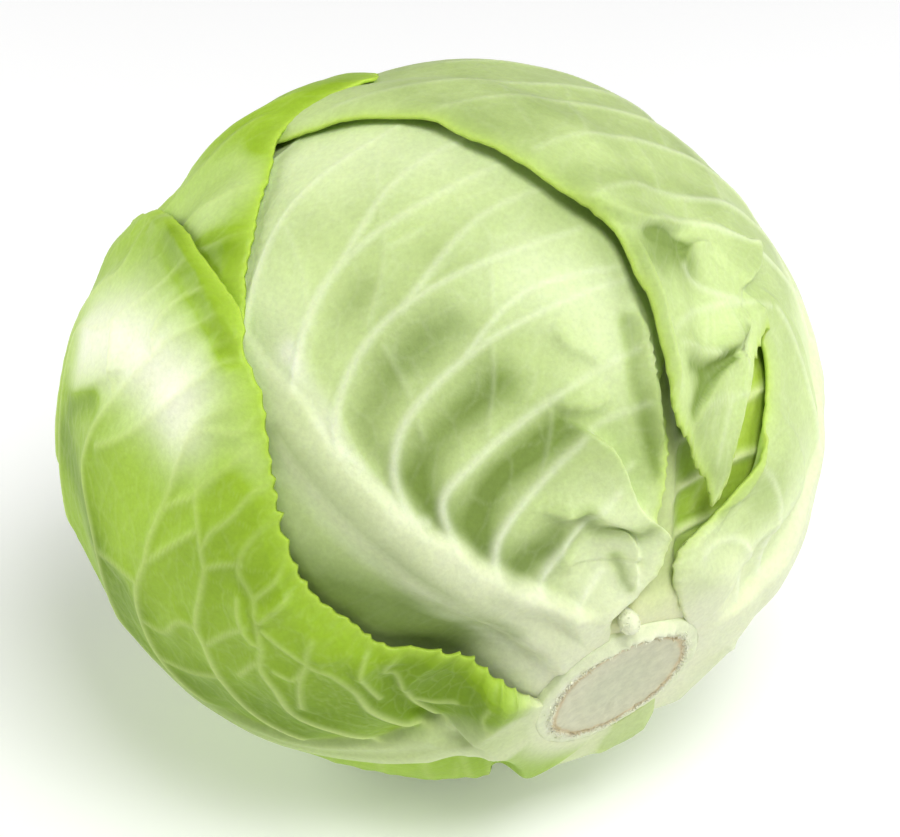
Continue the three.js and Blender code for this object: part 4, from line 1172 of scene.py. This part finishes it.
OUTER_FOLDS = [
    ([(-49, 121), (-47, 110), (-46, 103), (-46, 95), (-46, 90), (-46, 85)], 1.6, 1.2, 1.6, 0.5),
    ([(-77, 61), (-73, 60), (-69, 58)], 1.6, 2.5, 1.5, 0),
    ([(-82, 59), (-80, 62), (-75, 65)], 1.0, 2.5, 2, 0),
    ([(-84, 112), (-75, 106), (-71, 104), (-67, 102), (-64, 100)], 1.0, 5, 1.0, 0),
    ([(-80, 52), (-77, 49), (-73, 47)], 1.2, 2, 2, 0),
    ([(-82, 45), (-77, 43), (-71, 41)], 1.0, 2, 2, 0),
    ([(-87, 37), (-79, 36), (-69, 34)], 1.2, 2.5, 2.5, 0),
]
OUTER_VEINS = [
    [(-113, 40), (-105, 46), (-100, 52), (-93, 55), (-88, 58), (-82, 59), (-77, 61), (-73, 63), (-70, 67),
     (-64, 68), (-58, 67)],
    [(-113, 52), (-107, 59), (-98, 64), (-90, 67), (-87, 69), (-80, 70), (-75, 71), (-72, 73), (-68, 76),
     (-65, 78), (-60, 77), (-53, 76)],
    [(-111, 68), (-105, 75), (-99, 78), (-90, 80), (-83, 80), (-78, 81), (-67, 82), (-59, 84), (-52, 82),
     (-49, 81)],
    [(-109, 78), (-105, 85), (-92, 90), (-85, 97), (-80, 99), (-69, 99), (-58, 97), (-53, 96), (-46, 93)],
    [(-114, 28), (-104, 33), (-101, 36), (-93, 41), (-86, 44), (-82, 48), (-81, 52), (-75, 53)],
    [(-114, 24), (-103, 29), (-96, 32), (-90, 35), (-79, 39), (-78, 41), (-68, 40)],
    [(-77, 97), (-72, 94), (-64, 91), (-57, 89), (-51, 88), (-50, 90), (-46, 89)],
    [(-106, 98), (-95, 107), (-79, 120), (-67, 111), (-61, 108), (-53, 105), (-46, 104)],
    [(-104, 108), (-95, 115), (-82, 122), (-69, 122), (-60, 118), (-52, 122), (-49, 119)],
]
OUTER_LINKS = [
    [(-72, 73), (-68, 73), (-64, 72), (-59, 72), (-56, 71)], [(-78, 81), (-72, 81), (-66, 78), (-65, 78)],
    [(-83, 80), (-78, 78), (-70, 75)], [(-74, 71), (-71, 69), (-69, 67)], [(-73, 63), (-68, 62), (-64, 63)],
    [(-77, 61), (-74, 60), (-69, 59)], [(-82, 59), (-80, 62), (-75, 65)], [(-90, 67), (-83, 64), (-79, 62)],
    [(-93, 61), (-87, 59), (-86, 58)], [(-87, 69), (-89, 72), (-94, 74), (-96, 78)],
    [(-96, 51), (-87, 52), (-81, 52)], [(-81, 52), (-80, 55), (-78, 60)], [(-87, 56), (-87, 53), (-81, 52)],
    [(-90, 35), (-91, 31), (-87, 28)], [(-58, 97), (-56, 100), (-50, 100), (-46, 98)],
    [(-51, 88), (-48, 87), (-46, 85)], [(-68, 82), (-63, 83), (-58, 83), (-54, 79), (-51, 79)],
    [(-88, 40), (-80, 44), (-73, 45)], [(-97, 64), (-101, 69), (-104, 75)], [(-69, 99), (-66, 104), (-63, 109)],
    [(-93, 91), (-90, 86), (-88, 80)], [(-96, 22), (-88, 24), (-80, 24)],
]
# painted shade down the left and lower side turned from the light and in the fold hollows, and a broad painted
# highlight on the upper blade
OUTER_PAINTED_SHADING = [
    ([(-106, 84), (-106, 68), (-104, 52), (-96, 40), (-88, 32)], 15, 0.75),
    ([(-96, 84), (-90, 96), (-90, 108)], 6, 0.75), ([(-84, 110), (-78, 106), (-74, 103)], 2.5, 0.6),
    ([(-84, 36), (-76, 37), (-70, 36)], 7, 0.25), ([(-78, 72), (-72, 64), (-68, 60)], 8, 0.3),
    ([(-72, 113), (-64, 106), (-60, 98), (-58, 90)], 10, -0.95), ([(-62, 85), (-57, 79), (-55, 74)], 6, -0.2),
    ([(-47, 112), (-47, 103), (-47, 95), (-48, 88)], 2.5, 0.45), ([(-64, 66), (-60, 74), (-56, 82)], 4, 0.15),
]
outer_right = shown_side(OUTER_RIGHT, teeth=[1.3] * 2 + [2.2] * 6 + [1.2] * 2 + [0.4] * 6, wave=1.0, pitch=4.4)
outer_left = plain_side(OUTER_MIDRIB, -84, 176, outer_right, teeth=0, wave=0.1, curl=0, foot=1.5, ankle=0.14)
leaf = laid_leaf(OUTER_MIDRIB, outer_left, outer_right, 5, rib_length=52, cell=0.72, finer=1, seed=61)
folded(leaf, OUTER_FOLDS)
lay_painted_shading(leaf, OUTER_PAINTED_SHADING)
skins(leaf)
outer_veins = traced(leaf, OUTER_VEINS) + main_veins(leaf, 61, (-1,))
outer_links = traced(leaf, OUTER_LINKS) + side_veins(leaf, 111, (-1,))
outer_leaf = leaf_piece(
    "outer_leaf", leaf, green, GREEN_VEINS, outer_veins, outer_links, base_pale=0.95, base_reach=4.5, calm=0.3)
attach(outer_leaf, "root")
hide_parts("leaf_outer")
lay_down(outer_leaf)
